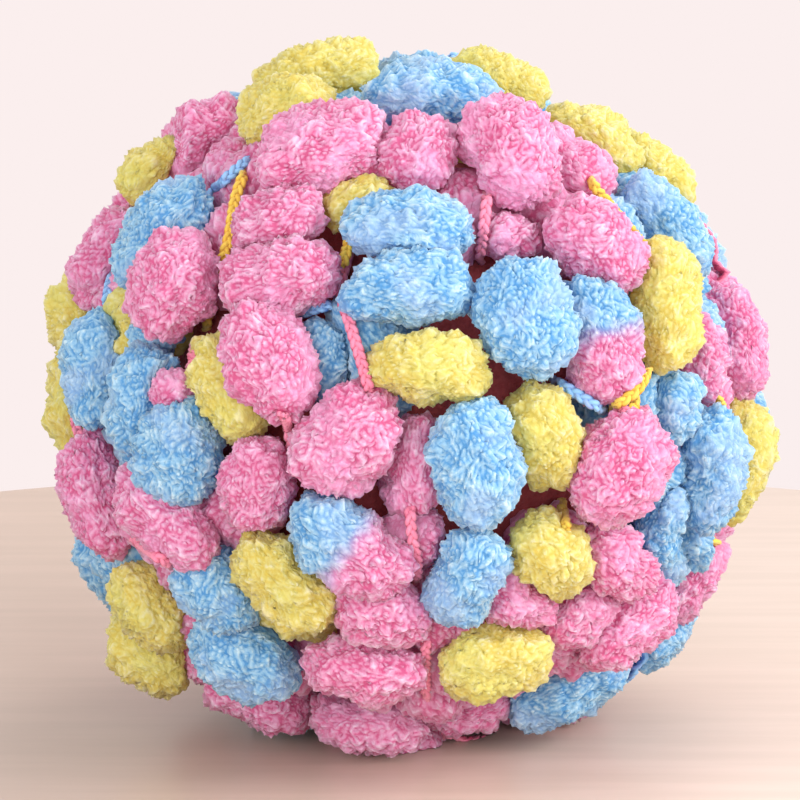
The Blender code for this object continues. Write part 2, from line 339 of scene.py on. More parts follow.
# From where to where up the pile the crevices' painted shade turns into the body's colour, and
# that into the tips' painted highlight, and where and how far the drift colour comes in
BODY_RANGE = (0.02, 0.48)
HIGHLIGHT_RANGE = (0.42, 0.92)
DRIFT_RANGE = (0.45, 1.0)
DRIFT_MOST = 0.45
CORD_BODY_RANGE = (0.30, 0.85)
CORD_DRIFT_RANGE = (0.4, 1.0)
CORD_DRIFT_MOST = 0.7
FLEECE_SHADES = ("crevice", "body", "tip", "drift")

# Depth of the bump, share of sheen, and share of light that goes on through the fibres
FLEECE_BUMP = 0.12 * MM
FLEECE_SHEEN = 0.15
FLEECE_GLOW = 0.30
CORD_BUMP = 0.12 * MM
CORD_SHEEN = 0.2
WINDING_BUMP = 1.2 * MM

# Table: painted shade darkens it to the left, and a painted pool of light on a spot in front of
# the ball leaves it darker away from there
WHITE = (1.0, 1.0, 1.0)
TABLE_SIDES = 128
TABLE_GRAIN_STRETCH = (2.2, 26.0, 1.0)
TABLE_GRAIN_RANGE = (0.30, 0.72)
TABLE_SHADE_RANGE = (-0.12, 0.12)
TABLE_LIGHT_POOL_SPOT = (0.02, -0.13, 0.0)
TABLE_LIGHT_POOL_RANGE = (0.03, 0.15)
TABLE_ROUGH = 0.30
TABLE_ROUGH_GRAIN = 0.10

# The lights, each with its power among the stage's settings
BALL_AIM = (0.0, 0.0, MID_HEIGHT)
Lamp = collections.namedtuple("Lamp", "name, place, aim, size, colour")
LAMPS = (
    Lamp("key", (0.66, -0.28, 0.42), BALL_AIM, 0.50, (1.0, 0.98, 0.97)),
    Lamp("fill", (-0.40, -0.75, 0.24), BALL_AIM, 0.60, (1.0, 0.97, 0.97)),
    Lamp("card", (0.10, -0.50, 0.15), (0.02, -0.08, 0.01), 0.30, (1.0, 0.97, 0.96)),
    Lamp("rim", (0.22, 0.35, 0.72), BALL_AIM, 0.45, (1.0, 0.97, 0.98)),
    Lamp("back", (-0.50, 0.62, 0.28), BALL_AIM, 0.60, (1.0, 0.98, 0.97)),
)
SKY_COLOUR = (1.0, 0.955, 0.945)

# A puff: its middle, its long, wide and outward ways as rows, half its size along each, its
# dye, and whether it lies in the deeper layer.
Puff = collections.namedtuple("Puff", "middle, ways, half, dye, deep")

# The skin of a puff or a strand: points, triangles, each point's pile, blend, tint and the way
# that it faces softly (noughts where that isn't used), and each triangle corner's place in a
# square of its own
COVER = "points, faces, pile, blend, tint, facing, corners"
Cover = collections.namedtuple("Cover", COVER)

SIZES = (
    "curl_spacing, curl_height, curl_lean, curl_run, softness, clump_size, clump_height,"
    " lump_size, lump_height, inset, groove, plump, cord_width, cord_turn, cord_lift,"
    " inner_radius"
)
Sizes = collections.namedtuple("Sizes", SIZES)


def unit(vector):
    return vector / np.linalg.norm(vector)


def unit_rows(vectors):
    return vectors / np.linalg.norm(vectors, axis=1, keepdims=True)


def eased(share):
    """0 to 1 with a soft start and end."""
    share = np.clip(share, 0.0, 1.0)
    return share * share * (3.0 - 2.0 * share)


# ---- Where the puffs lie

def view_ways():
    """Right, up and forward of the front view."""
    rise = math.radians(VIEW_RISE_DEG)
    right = np.array((1.0, 0.0, 0.0))
    up = np.array((0.0, math.sin(rise), math.cos(rise)))
    forward = np.array((0.0, math.cos(rise), -math.sin(rise)))
    return right, up, forward


def power_at(height):
    """The layer is round above its middle and squarer below, where the ball sags."""
    return np.where(height < 0.0, SAG_POWER, ROUND_POWER)


def fullness(places, proud):
    """One on the layer that the puffs' middles lie on, less inside it and more outside."""
    x, y, z = ((places - MIDDLE) / (LAYER + proud)).T
    power = power_at(z)
    return np.hypot(x, y) ** power + np.abs(z) ** power


def onto_layer(places, proud):
    """The places drawn out or in to the layer, along the way to the ball's middle."""
    power = power_at((places - MIDDLE).T[2])
    share = fullness(places, proud) ** (-1.0 / power)
    return MIDDLE + (places - MIDDLE) * np.expand_dims(share, -1)


def outward(spot):
    x, y, z = (spot - MIDDLE) / LAYER
    power = float(power_at(z))
    level = math.hypot(x, y) ** (power - 2.0)
    rise = math.copysign(abs(z) ** (power - 1.0), z)
    return unit(np.array((x * level, y * level, rise)) / LAYER)


def sight_line(across, up_by):
    """The eye of the front view, and the way from it to a place across and up from the aim."""
    right, up, forward = view_ways()
    aim = np.array((0.0, 0.0, VIEW_AIM_HEIGHT))
    eye = aim - VIEW_DISTANCE * forward
    return eye, unit(aim + across * right + up_by * up - eye)


def seen_spot(across, up_by, proud):
    """The place on the near side of the layer that the front view shows there, or the nearest
    place on the layer's outline for a puff that reaches past it. Also how much larger or
    smaller a thing there is than it would look at the ball's middle."""
    _, _, forward = view_ways()
    eye, way = sight_line(across, up_by)
    reach = VIEW_DISTANCE + np.linspace(-SIGHT_REACH, SIGHT_REACH, SIGHT_STEPS)
    places = eye + reach[:, None] * way
    full = fullness(places, proud)
    inside = np.flatnonzero(full < 1.0)
    nearest = inside[0] if len(inside) else int(np.argmin(full))
    spot = onto_layer(places[nearest], proud)
    return spot, (spot - eye) @ forward / VIEW_DISTANCE


def puff_at(spot, way, long, wide, dye, deep=False):
    """A puff with its middle there, its long way as near to the given way as the layer allows."""
    out = outward(spot)
    along = unit(way - (way @ out) * out)
    ways = np.array((along, np.cross(out, along), out))
    half = np.array((long, wide, wide * PUFF_THICK_SHARE)) / 2.0
    return Puff(spot, ways, half, dye, deep)


def front_puffs():
    right, up, _ = view_ways()
    puffs = []
    for row in FRONT_PUFFS:
        turn = math.radians(row.turn)
        spot, scale = seen_spot(row.across * MM, row.up * MM, row.proud * MM)
        way = math.cos(turn) * right + math.sin(turn) * up
        scale *= MM
        puffs.append(puff_at(spot, way, row.long * scale, row.wide * scale, row.dye))
    return puffs


def even_spots():
    """Spots spread evenly over the whole layer by a golden spiral."""
    count = np.arange(SPOTS)
    height = 1.0 - (2.0 * count + 1.0) / SPOTS
    radius = np.sqrt(1.0 - height**2)
    turn = count * GOLDEN_TURN
    ways = np.stack((radius * np.cos(turn), radius * np.sin(turn), height), axis=1)
    return onto_layer(MIDDLE + ways * LAYER, 0.0)


def open_way(spot, placed):
    """The way along the layer in which a new puff has the most room for its long side."""
    out = outward(spot)
    across = unit(np.cross(SLANT, out))
    up = np.cross(out, across)
    gaps = placed - spot
    gaps = gaps[np.linalg.norm(gaps, axis=1) < NEIGHBOUR_REACH]
    best_way = across
    least = math.inf
    for step in range(TURN_STEPS):
        turn = math.pi * step / TURN_STEPS
        way = math.cos(turn) * across + math.sin(turn) * up
        crowding = float(np.sum((gaps @ way) ** 2 / np.sum(gaps * gaps, axis=1) ** 2))
        if crowding < least:
            least = crowding
            best_way = way
    return best_way


def wave(count, step):
    """A number from -1 to 1 that goes up and down from one puff to the next."""
    return math.sin(count * step)


def room_from(puff, spots):
    """How many times half the puff's size each spot is from its middle."""
    gaps = (spots - puff.middle) @ puff.ways[:2].T / puff.half[:2]
    same_side = (spots - MIDDLE) @ puff.ways[2] > 0.0
    return np.where(same_side, np.linalg.norm(gaps, axis=1), math.inf)


def hidden_puffs(seen):
    """Puffs for the sides, top, back and underside, then the deeper ones that show in the
    gaps all round. Each goes where there is most room, starting with the one that the ball
    stands on."""
    _, _, forward = view_ways()
    spots = even_spots()
    behind = np.array([outward(spot) @ forward for spot in spots]) > -FRONT_EDGE
    placed = [puff.middle for puff in seen]
    room = np.min([room_from(puff, spots) for puff in seen], axis=0)
    puffs = []
    spot = MIDDLE - np.array((0.0, 0.0, LAYER[2]))
    dye = DYE_RUNS[0]
    deep = False
    while True:
        count = len(puffs)
        long = PUFF_LONG + LONG_SPREAD * wave(count, LONG_WAVE)
        wide = PUFF_WIDE + WIDE_SPREAD * wave(count, WIDE_WAVE)
        way = open_way(spot, np.array(placed))
        puff = puff_at(spot, way, long, wide, dye, deep)
        puffs.append(puff)
        placed.append(spot)
        room = np.minimum(room, room_from(puff, spots))
        furthest = int(np.argmax(np.where(behind, room, 0.0)))
        if room[furthest] > OUTER_ROOM:
            spot = onto_layer(spots[furthest], PROUD_SPREAD * wave(count, PROUD_WAVE))
            dye = DYE_RUNS[len(puffs) % len(DYE_RUNS)]
            deep = False
            continue
        furthest = int(np.argmax(room))
        if room[furthest] < DEEP_ROOM:
            return puffs
        spot = onto_layer(spots[furthest], DEEP_PROUD)
        gaps = [np.linalg.norm(other.middle - spot) for other in seen + puffs]
        dye = (seen + puffs)[int(np.argmin(gaps))].dye.split()[0]
        deep = True


@functools.lru_cache(maxsize=1)
def placed_puffs():
    """All puffs, moved so that the ball's box stands over the origin as the solid's does, and
    how far they were moved."""
    seen = front_puffs()
    puffs = seen + hidden_puffs(seen)
    spans = [np.linalg.norm(puff.ways * puff.half[:, None], axis=0) for puff in puffs]
    low = np.min([puff.middle - span for puff, span in zip(puffs, spans)], axis=0)
    high = np.max([puff.middle + span for puff, span in zip(puffs, spans)], axis=0)
    move = -(low + high) / 2.0
    move[2] = 0.0
    return tuple(puff._replace(middle=puff.middle + move) for puff in puffs), move


# ---- Shape of the fleece

def soft_noise(places, size, seed):
    """Smooth ups and downs from about -1 to 1 that are about that size."""
    shifted = places / size + seed
    return np.array([noise.noise(place) for place in shifted.tolist()])


def soft_ways(places, size, seed):
    """Like soft_noise, with a way in space at each place in place of a number. Without a seed
    of its own, this noise starts somewhere else each time that Blender does."""
    noise.seed_set(WAYS_SEED)
    shifted = places / size + seed
    return np.array([noise.noise_vector(place)[:] for place in shifted.tolist()])


@functools.lru_cache(maxsize=4)
def round_ball(level):
    """The points and triangles of a ball of radius one."""
    ball = bmesh.new()
    bmesh.ops.create_icosphere(ball, subdivisions=level, radius=1.0)
    points = unit_rows(np.array([vertex.co[:] for vertex in ball.verts]))
    faces = np.array([[vertex.index for vertex in face.verts] for face in ball.faces])
    ball.free()
    return points, faces


def kept_by_contact(puff, near, offsets, groove):
    """The share of each offset from the puff's middle that it keeps where other puffs press
    on it: out to where the other is as near as this one, each measured by its own size."""
    total = np.ones(len(offsets))
    for other in near:
        start = other.ways @ (puff.middle - other.middle) / other.half
        step = offsets @ other.ways.T / other.half
        a = start @ start
        b = step @ start
        room = (1.0 + groove) ** 2 - np.sum(step * step, axis=1)
        inside = b * b + room * a
        root = np.sqrt(np.maximum(inside, 0.0)) - b
        meets = (inside >= 0.0) & (root > TINY)
        share = np.where(meets, a / np.where(meets, root, 1.0), math.inf)
        total += np.maximum(share, LEAST_SHARE) ** -SOFTEST
    return np.maximum(total ** (-1.0 / SOFTEST), LEAST_KEPT)


def core_places(puff, near, ways, sizes, seed):
    """Where the puff's soft core is along ways in its own frame, and the way out of it."""
    swell = np.sum(np.abs(ways) ** sizes.plump, axis=1) ** (-1.0 / sizes.plump)
    local = ways * swell[:, None] * (puff.half - sizes.inset)
    local[:, 2] -= local[:, 0] ** 2 / (2.0 * BEND_RADIUS)
    offsets = local @ puff.ways
    kept = kept_by_contact(puff, near, offsets, sizes.groove)
    outs = np.sign(ways) * np.abs(ways) ** (sizes.plump - 1.0) / puff.half
    outs = unit_rows(outs @ puff.ways)
    places = puff.middle + offsets * kept[:, None]
    rise = soft_noise(places, sizes.lump_size, seed)
    large = sizes.lump_size * LARGE_LUMP_TIMES
    rise += soft_noise(places, large, seed + LARGE_LUMP_SEED)
    places += outs * (rise * sizes.lump_height * kept)[:, None]
    return places, outs


def inside_clump(places, size, seed):
    """How far inside its clump each place is: nought on its edge and one well inside."""
    shifted = places / size + seed
    shifted += CLUMP_WARP * soft_ways(places, size * CLUMP_WARP_TIMES, seed)
    gaps = np.array([noise.voronoi(place)[0][:2] for place in shifted.tolist()])
    return np.minimum((gaps[:, 1] - gaps[:, 0]) / CLUMP_FULL, 1.0)


def blend_at(puff, places, seed):
    """How far the second dye has taken over from the first, with an uneven border."""
    if len(puff.dye.split()) == 1:
        return np.zeros(len(places))
    along = (places - puff.middle) @ puff.ways[0]
    along += MIX_WANDER * soft_noise(places, MIX_NOISE_SIZE, seed)
    return eased(0.5 + along / (2.0 * MIX_WIDTH))


def tint_at(places, seed):
    """Slow ups and downs of the dye from 0 to 1."""
    return np.clip(0.5 + TINT_REACH * soft_noise(places, TINT_SIZE, seed), 0.0, 1.0)


def square_corners(ways, faces):
    """Each triangle corner's place in a square that the ball's ways unfold to, the outward
    way in the middle of it."""
    corners = ways[faces]
    flat = corners[:, :, :2] / np.sum(np.abs(corners), axis=2, keepdims=True)
    signs = np.where(np.mean(corners, axis=1)[:, None, :2] < 0.0, -1.0, 1.0)
    folded = (1.0 - np.abs(flat[:, :, ::-1])) * signs
    flat = np.where(corners[:, :, 2:] < 0.0, folded, flat)
    return flat * 0.5 + 0.5


def gathered_ball(level):
    """A round ball's points, drawn together towards the outward side, and its triangles."""
    ways, faces = round_ball(level)
    return unit_rows(ways + np.array((0.0, 0.0, FOLD_SHARE))), faces


def pillow(inside):
    """A rounded height from how far inside its clump a place is."""
    return 1.0 - (1.0 - inside) ** 2


def fluff_places(puff, near, cords, ways, relief, sizes, seed):
    """Where the fleece is along ways in the puff's own frame: clumps on its core and curls on
    those, pressed in where cord lies. relief is how high in its curl each place is, from
    nought to one. Also the way out there, and how far up the pile each place is."""
    places, outs = core_places(puff, near, ways, sizes, seed)
    swirl = soft_ways(places, sizes.curl_run, seed)
    stood = pillow(inside_clump(places, sizes.clump_size, seed))
    gaps = np.array([cords.find(place)[2] for place in places])
    pressed = eased(1.0 - gaps / PRESSED_WITHIN)
    rise = stood * sizes.clump_height + relief * sizes.curl_height
    rise = rise * (1.0 - PRESSED_FLAT * pressed) - pressed * PRESSED_DEPTH
    fluff = places + outs * rise[:, None]
    lean = sizes.curl_lean * sizes.curl_height * relief * (1.0 - pressed)
    fluff += swirl * lean[:, None]
    fluff[:, 2] = np.maximum(fluff[:, 2], CLEAR_OF_TABLE)
    # The pile picks painted shade in the crevices, between clumps and under cord, and a painted
    # highlight on the tops of curls and clumps
    pile = relief * (PILE_CURL + PILE_CURL_ON_CLUMP * stood)
    pile += PILE_CLUMP * stood - PILE_PRESSED * pressed
    return fluff, outs, pile


def curl_ways(half, spacing, random):
    """Ways in a puff's own frame to the middles of its curls, and the triangles between
    neighbouring ones."""
    ways = spread_ways(half, spacing, random)
    hull = bmesh.new()
    for way in ways.tolist():
        hull.verts.new(way)
    hull.verts.index_update()
    bmesh.ops.convex_hull(hull, input=hull.verts[:])
    bmesh.ops.triangulate(hull, faces=hull.faces[:])
    faces = np.array([[vertex.index for vertex in face.verts] for face in hull.faces])
    hull.free()
    a, b, c = ways[faces].transpose(1, 0, 2)
    inward = np.sum(np.cross(b - a, c - a) * a, axis=1) < 0.0
    faces[inward] = faces[inward][:, ::-1]
    return ways, faces


def kept_curls(ways, faces, clear):
    """Only the curls that can be seen and the ones next to them."""
    near = clear > 0
    near[faces[near[faces].any(axis=1)]] = True
    faces = faces[near[faces].any(axis=1)]
    used, faces = np.unique(faces, return_inverse=True)
    return ways[used], faces.reshape(-1, 3), clear[used] == 2


def split_curls(ways, faces, full):
    """Splits the sides between curls in two where either curl is in full view, and the
    triangles with them. Also which two curls each side's middle is between."""
    pairs = np.sort(faces[:, ((0, 1), (1, 2), (2, 0))].reshape(-1, 2), axis=1)
    sides, number = np.unique(pairs, axis=0, return_inverse=True)
    number = number.reshape(-1, 3)
    parted = full[sides].any(axis=1)
    place = np.where(parted, len(ways) + np.cumsum(parted) - 1, -1)
    middles = place[number]
    cuts = np.sum(middles >= 0, axis=1)
    first = np.argmax(middles >= 0, axis=1)
    whole = (np.argmin(middles, axis=1) + 1) % 3
    turned = np.where(cuts == 2, whole, first)
    order = (turned[:, None] + np.arange(3)) % 3
    a, b, c = np.take_along_axis(faces, order, axis=1).T
    ab, bc, ca = np.take_along_axis(middles, order, axis=1).T
    small = []
    for count, corners in (
        (0, ((a, b, c),)),
        (1, ((a, ab, c), (ab, b, c))),
        (2, ((ab, b, bc), (a, ab, bc), (a, bc, c))),
        (3, ((a, ab, ca), (ab, b, bc), (bc, c, ca), (ab, bc, ca))),
    ):
        for triangle in corners:
            small.append(np.stack(triangle, axis=1)[cuts == count])
    sides = sides[parted]
    halfway = unit_rows(ways[sides[:, 0]] + ways[sides[:, 1]])
    return np.concatenate((ways, halfway)), np.concatenate(small), sides


def relief_of(places, grain, sides, full, random):
    """How high each curl's middle and then each side's middle is."""
    tops = random.uniform(TOP_LEAST, 1.0, len(places))
    shaded = random.uniform(SHADED_LOW, SHADED_HIGH, len(places))
    tops = np.where(full, tops, shaded)
    first, second = sides.T
    ahead = unit_rows(places[second] - places[first])
    along = np.abs(np.sum(ahead * unit_rows(grain[first] + grain[second]), axis=1))
    join = eased((along - GRAIN_LOW) / (GRAIN_HIGH - GRAIN_LOW))
    join = JOIN_LEAST + join * (JOIN_MOST - JOIN_LEAST)
    return np.concatenate((tops, join * (tops[first] + tops[second]) / 2.0))


def puff_cover(puff, near, cords, sizes, seed, tree, middle):
    """The fleece of one puff where it can be seen: small curls that stand on clumps."""
    random = np.random.default_rng(int(seed))
    spacing = sizes.curl_spacing * (DEEP_TIMES if puff.deep else 1.0)
    spacing *= 1.0
    ways, faces = curl_ways(puff.half, spacing, random)
    places, outs = core_places(puff, near, ways, sizes, seed)
    clear = openness(tree, places, outs, middle)
    ways, faces, full = kept_curls(ways, faces, clear)
    if len(faces) == 0:
        return None
    places, _ = core_places(puff, near, ways, sizes, seed)
    grain = soft_ways(places, sizes.curl_run, seed)
    ways, small, sides = split_curls(ways, faces, full)
    relief = relief_of(places, grain, sides, full, random)
    fluff, outs, pile = fluff_places(puff, near, cords, ways, relief, sizes, seed)
    blend = blend_at(puff, fluff, seed)
    corners = square_corners(ways, small)
    return Cover(fluff, small, pile, blend, tint_at(fluff, seed), outs, corners)


def spread_ways(half, spacing, random):
    """Ways in a puff's own frame that meet its skin at an even spacing."""
    share = np.linspace(-1.0, 1.0, SPREAD_STEPS)
    wide = (half[1] + half[2]) / 2.0
    band = wide * np.sqrt(half[0] ** 2 * (1.0 - share**2) + (wide * share) ** 2)
    grown = np.concatenate(((0.0,), np.cumsum((band[1:] + band[:-1]) / 2.0)))
    area = 2.0 * math.pi * grown[-1] * (share[1] - share[0])
    count = int(area / (HEX_SHARE * spacing**2))
    order = np.arange(count)
    along = np.interp((order + 0.5) / count, grown / grown[-1], share)
    turn = order * GOLDEN_TURN
    radius = np.sqrt(1.0 - along**2)
    ways = np.stack((along, radius * np.cos(turn), radius * np.sin(turn)), axis=1)
    ways += random.normal(0.0, JITTER * spacing, ways.shape) / half
    return unit_rows(ways)


def openness(tree, places, outs, middle):
    """2 where the way straight out from the ball is clear, 1 where a slanting way is, and 0
    where the place is hidden from all sides."""
    tilt = math.radians(SIGHT_TILT_DEG)
    starts = places + outs * SIGHT_LIFT
    ups = unit_rows(starts - middle)
    sides = unit_rows(np.cross(ups, SIGHT_SLANT))
    others = np.cross(ups, sides)
    clear = clear_ways(tree, starts, ups) * 2
    for step in range(SIGHT_WAYS):
        turn = 2.0 * math.pi * step / SIGHT_WAYS
        level = math.cos(turn) * sides + math.sin(turn) * others
        left = np.flatnonzero(clear == 0)
        ways = math.cos(tilt) * ups[left] + math.sin(tilt) * level[left]
        clear[left] = clear_ways(tree, starts[left], ways)
    return clear


def clear_ways(tree, starts, ways):
    hits = [
        tree.ray_cast(Vector(start), Vector(way))[0] is None
        for start, way in zip(starts, ways)
    ]
    return np.array(hits, int)


def inner_places(sizes):
    """The points and triangles of the wound middle of the ball."""
    _, move = placed_puffs()
    ways, faces = round_ball(INNER_LEVEL)
    rise = soft_noise(ways * sizes.inner_radius, INNER_LUMP_SIZE, INNER_SEED)
    rise *= INNER_LUMP_HEIGHT
    return MIDDLE + move + ways * (sizes.inner_radius + rise)[:, None], ways, faces


@functools.lru_cache(maxsize=1)
def wound_ball(sizes):
    """The tree of the faces of every puff's core and of the wound middle, and every puff's
    neighbours."""
    puffs, _ = placed_puffs()
    ways, faces = gathered_ball(CORE_LEVEL)
    inner, _, inner_faces = inner_places(sizes)
    cores = []
    neighbours = []
    for index, puff in enumerate(puffs):
        near = [
            other for other in puffs
            if other is not puff
            and np.linalg.norm(other.middle - puff.middle) < NEIGHBOUR_REACH
        ]
        neighbours.append(near)
        cores.append(core_places(puff, near, ways, sizes, SEED_STEP * index)[0])
    starts = np.arange(len(cores))[:, None, None] * len(ways)
    all_faces = (faces + starts).reshape(-1, 3)
    all_faces = np.concatenate((all_faces, inner_faces + len(cores) * len(ways)))
    places = np.concatenate(cores + [inner])
    tree = BVHTree.FromPolygons(places.tolist(), all_faces.tolist())
    return tree, neighbours


def joined(covers):
    """One cover from several."""
    starts = np.cumsum([0] + [len(cover.points) for cover in covers])
    moved = [cover._replace(faces=cover.faces + start) for cover, start in zip(covers, starts)]
    corners = tiled([cover.corners for cover in covers])
    return Cover(*map(np.concatenate, zip(*moved)))._replace(corners=corners)


def tiled(corners):
    """Squares of corners put side by side in the whole square."""
    columns = math.ceil(math.sqrt(len(corners)))
    rows = math.ceil(len(corners) / columns)
    placed = []
    for index, square in enumerate(corners):
        inset = (square - 0.5) * TILE_USED + 0.5
        u = (inset[:, :, 0] + index % columns) / columns
        v = (inset[:, :, 1] + index // columns) / rows
        placed.append(np.stack((u, v), axis=2))
    return np.concatenate(placed)


def mesh_piece(name, cover, material, softness=0.0):
    """A mesh object from a cover, riding with the ball. With softness, its points shade partly
    as if they faced the way that the cover says."""
    mesh = bpy.data.meshes.new(name)
    mesh.vertices.add(len(cover.points))
    mesh.vertices.foreach_set("co", cover.points.ravel())
    mesh.loops.add(cover.faces.size)
    mesh.loops.foreach_set("vertex_index", cover.faces.ravel())
    mesh.polygons.add(len(cover.faces))
    mesh.polygons.foreach_set("loop_start", np.arange(0, cover.faces.size, 3))
    mesh.update(calc_edges=True)
    for key in ("pile", "blend", "tint"):
        values = mesh.attributes.new(key, "FLOAT", "POINT")
        values.data.foreach_set("value", getattr(cover, key))
    unwrapped = mesh.uv_layers.new(name="OFBake")
    unwrapped.data.foreach_set("uv", cover.corners.ravel())
    mesh.shade_smooth()
    if softness > 0.0:
        own = np.empty(len(cover.points) * 3, np.float32)
        mesh.vertex_normals.foreach_get("vector", own)
        own = own.reshape(-1, 3)
        mesh.normals_split_custom_set_from_vertices(
            unit_rows(own * (1.0 - softness) + cover.facing * softness),
        )
    mesh.materials.append(material)
    piece = bpy.data.objects.new(name, mesh)
    bpy.context.scene.collection.objects.link(piece)
    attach(piece, BODY)
    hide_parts(NODE)
    return piece


def fleece_piece(name, indices, material, sizes):
    """One piece of several puffs."""
    puffs, move = placed_puffs()
    tree, neighbours = wound_ball(sizes)
    cords = cord_places(sizes)
    covers = []
    for index in indices:
        seed = SEED_STEP * index
        middle = MIDDLE + move
        cover = puff_cover(puffs[index], neighbours[index], cords, sizes, seed, tree, middle)
        if cover is not None:
            covers.append(cover)
    return mesh_piece(name, joined(covers), material, sizes.softness)


# ---- Braided cord

def smoothed(values, reach):
    """A running mean over that many steps to each side."""
    padded = np.pad(values, (reach, reach), mode="edge")
    kernel = np.ones(2 * reach + 1) / (2 * reach + 1)
    return np.convolve(padded, kernel, mode="valid")


def through(route, step):
    """Places along a smooth line through the route's."""
    marks = np.array(route, float)
    ahead = np.concatenate((marks[:1] * 2.0 - marks[1:2], marks, marks[-1:] * 2.0 - marks[-2:-1]))
    line = []
    for a, b, c, d in zip(ahead, ahead[1:], ahead[2:], ahead[3:]):
        steps = max(2, int(np.linalg.norm(c - b) / step))
        for t in np.arange(steps) / steps:
            line.append(
                0.5 * (2.0 * b + (c - a) * t + (2.0 * a - 5.0 * b + 4.0 * c - d) * t * t
                       + (3.0 * b - a - 3.0 * c + d) * t**3)
            )
    line.append(marks[-1])
    return np.array(line)


def taut(reach):
    """How near to the eye a cord lies that is pulled tight over places that far away."""
    kept = []
    for ahead, near in enumerate(reach):
        while len(kept) > 1:
            (a, there), (b, here) = kept[-2:]
            if (b - a) * (near - there) - (here - there) * (ahead - a) > 0.0:
                break
            kept.pop()
        kept.append((ahead, near))
    marks, nears = zip(*kept)
    return np.interp(np.arange(len(reach)), marks, nears)


def laid(starts, ways, tree, lift):
    """A cord's middle line that lies on the ball: each place is sighted along its way, and
    between high places the cord goes straight. Both its ends go down into the fleece."""
    reach = []
    for start, way in zip(starts, ways):
        hit = tree.ray_cast(Vector(start), Vector(way))[3]
        reach.append(math.nan if hit is None else hit)
    reach = np.array(reach)
    there = ~np.isnan(reach)
    if not there.any():
        raise ValueError("a length of cord doesn't meet the ball")
    order = np.arange(len(reach))
    ground = np.interp(order, order[there], reach[there])
    reach = np.maximum(taut(ground), ground - CORD_CLEAR_MOST)
    reach = smoothed(reach, max(1, round(CORD_SMOOTH / CORD_STEP))) - lift
    places = starts + ways * reach[:, None]
    run = run_along(places)
    to_end = np.minimum(run, run[-1] - run)
    under = CORD_SINK + np.maximum(ground - reach, 0.0)
    sink = under * (1.0 - eased(to_end / CORD_SINK_ALONG))
    return places + ways * sink[:, None]


def run_along(line):
    """How far along the line each of its places is."""
    return np.concatenate(((0.0,), np.cumsum(np.linalg.norm(np.diff(line, axis=0), axis=1))))


def level_ways(line, outs):
    """Up and side ways square to the line, up being as near to the outward way as it can."""
    ahead = unit_rows(np.gradient(line, axis=0))
    ups = unit_rows(outs - ahead * np.sum(outs * ahead, axis=1, keepdims=True))
    return ups, np.cross(ahead, ups)


def tube_faces(count):
    """The triangles of a strand's skin with that many rings of points, and each triangle
    corner's place in a square."""
    low = np.arange(count - 1)[:, None] * STRAND_SIDES
    here = np.arange(STRAND_SIDES)[None, :]
    a = (low + here).ravel()
    b = (low + (here + 1) % STRAND_SIDES).ravel()
    c = b + STRAND_SIDES
    d = a + STRAND_SIDES
    faces = np.concatenate((np.stack((a, b, c), axis=1), np.stack((a, c, d), axis=1)))
    u = (here + np.zeros_like(low)).ravel() / STRAND_SIDES
    v = (low + np.zeros_like(here)).ravel() / STRAND_SIDES / (count - 1)
    flat_a = np.stack((u, v), axis=1)
    flat_b = flat_a + np.array((1.0 / STRAND_SIDES, 0.0))
    flat_c = flat_a + np.array((1.0 / STRAND_SIDES, 1.0 / (count - 1)))
    flat_d = flat_a + np.array((0.0, 1.0 / (count - 1)))
    first = np.stack((flat_a, flat_b, flat_c), axis=1)
    second = np.stack((flat_a, flat_c, flat_d), axis=1)
    return faces, np.concatenate((first, second))


def braid_cover(line, outs, sizes, seed):
    """A plait of three strands along the line."""
    ups, sides = level_ways(line, outs)
    run = run_along(line)
    strand = sizes.cord_width * STRAND_SHARE
    wide = sizes.cord_width * SWING_SHARE
    high = sizes.cord_width * RISE_SHARE
    faces, corners = tube_faces(len(line))
    covers = []
    ring = np.arange(STRAND_SIDES) * 2.0 * math.pi / STRAND_SIDES
    for number in range(STRANDS):
        phase = 2.0 * math.pi * (run / sizes.cord_turn + number / STRANDS)
        lift = np.sin(2.0 * phase) * high
        middle = line + sides * (np.sin(phase) * wide)[:, None] + ups * lift[:, None]
        up, side = level_ways(middle, ups)
        points = (
            middle[:, None]
            + side[:, None] * (np.cos(ring) * strand)[None, :, None]
            + up[:, None] * (np.sin(ring) * strand)[None, :, None]
        )
        # Painted shade on each strand's underside and where it dips under the others, lighter on
        # its top
        rise = (lift / high * STRAND_PILE_RISE)[:, None]
        pile = np.sin(ring)[None, :] * STRAND_PILE_ROUND + STRAND_PILE + rise
        places = points.reshape(-1, 3)
        places[:, 2] = np.maximum(places[:, 2], CLEAR_OF_TABLE)
        tint = 0.5 + CORD_TINT_REACH * soft_noise(places, CORD_TINT_SIZE, seed + number)
        covers.append(Cover(
            places, faces, np.clip(pile, 0.0, 1.0).ravel(), np.zeros(len(places)),
            np.clip(tint, 0.0, 1.0), np.zeros(places.shape), corners,
        ))
    return covers


def front_lines(tree, move, lift):
    """Middle lines of the cord that the front shows, each with its dye and outward ways."""
    lines = []
    for link in FRONT_LINKS:
        marks = through(np.array(link.route) * MM, CORD_STEP)
        sights = [sight_line(across, up_by) for across, up_by in marks]
        starts = np.array([eye + move for eye, _ in sights])
        ways = np.array([way for _, way in sights])
        lines.append((link.dye, laid(starts, ways, tree, lift + link.proud * MM), -ways))
    return lines


def puff_ends(puffs):
    """The ends of the outer puffs that the front view hides, each with its puff's number."""
    _, _, forward = view_ways()
    ends = []
    for number, puff in enumerate(puffs):
        if puff.deep or puff.ways[2] @ forward < FACING_LEAST:
            continue
        for side in (-1.0, 1.0):
            ends.append((number, puff.middle + puff.ways[0] * puff.half[0] * side * END_SHARE))
    return ends


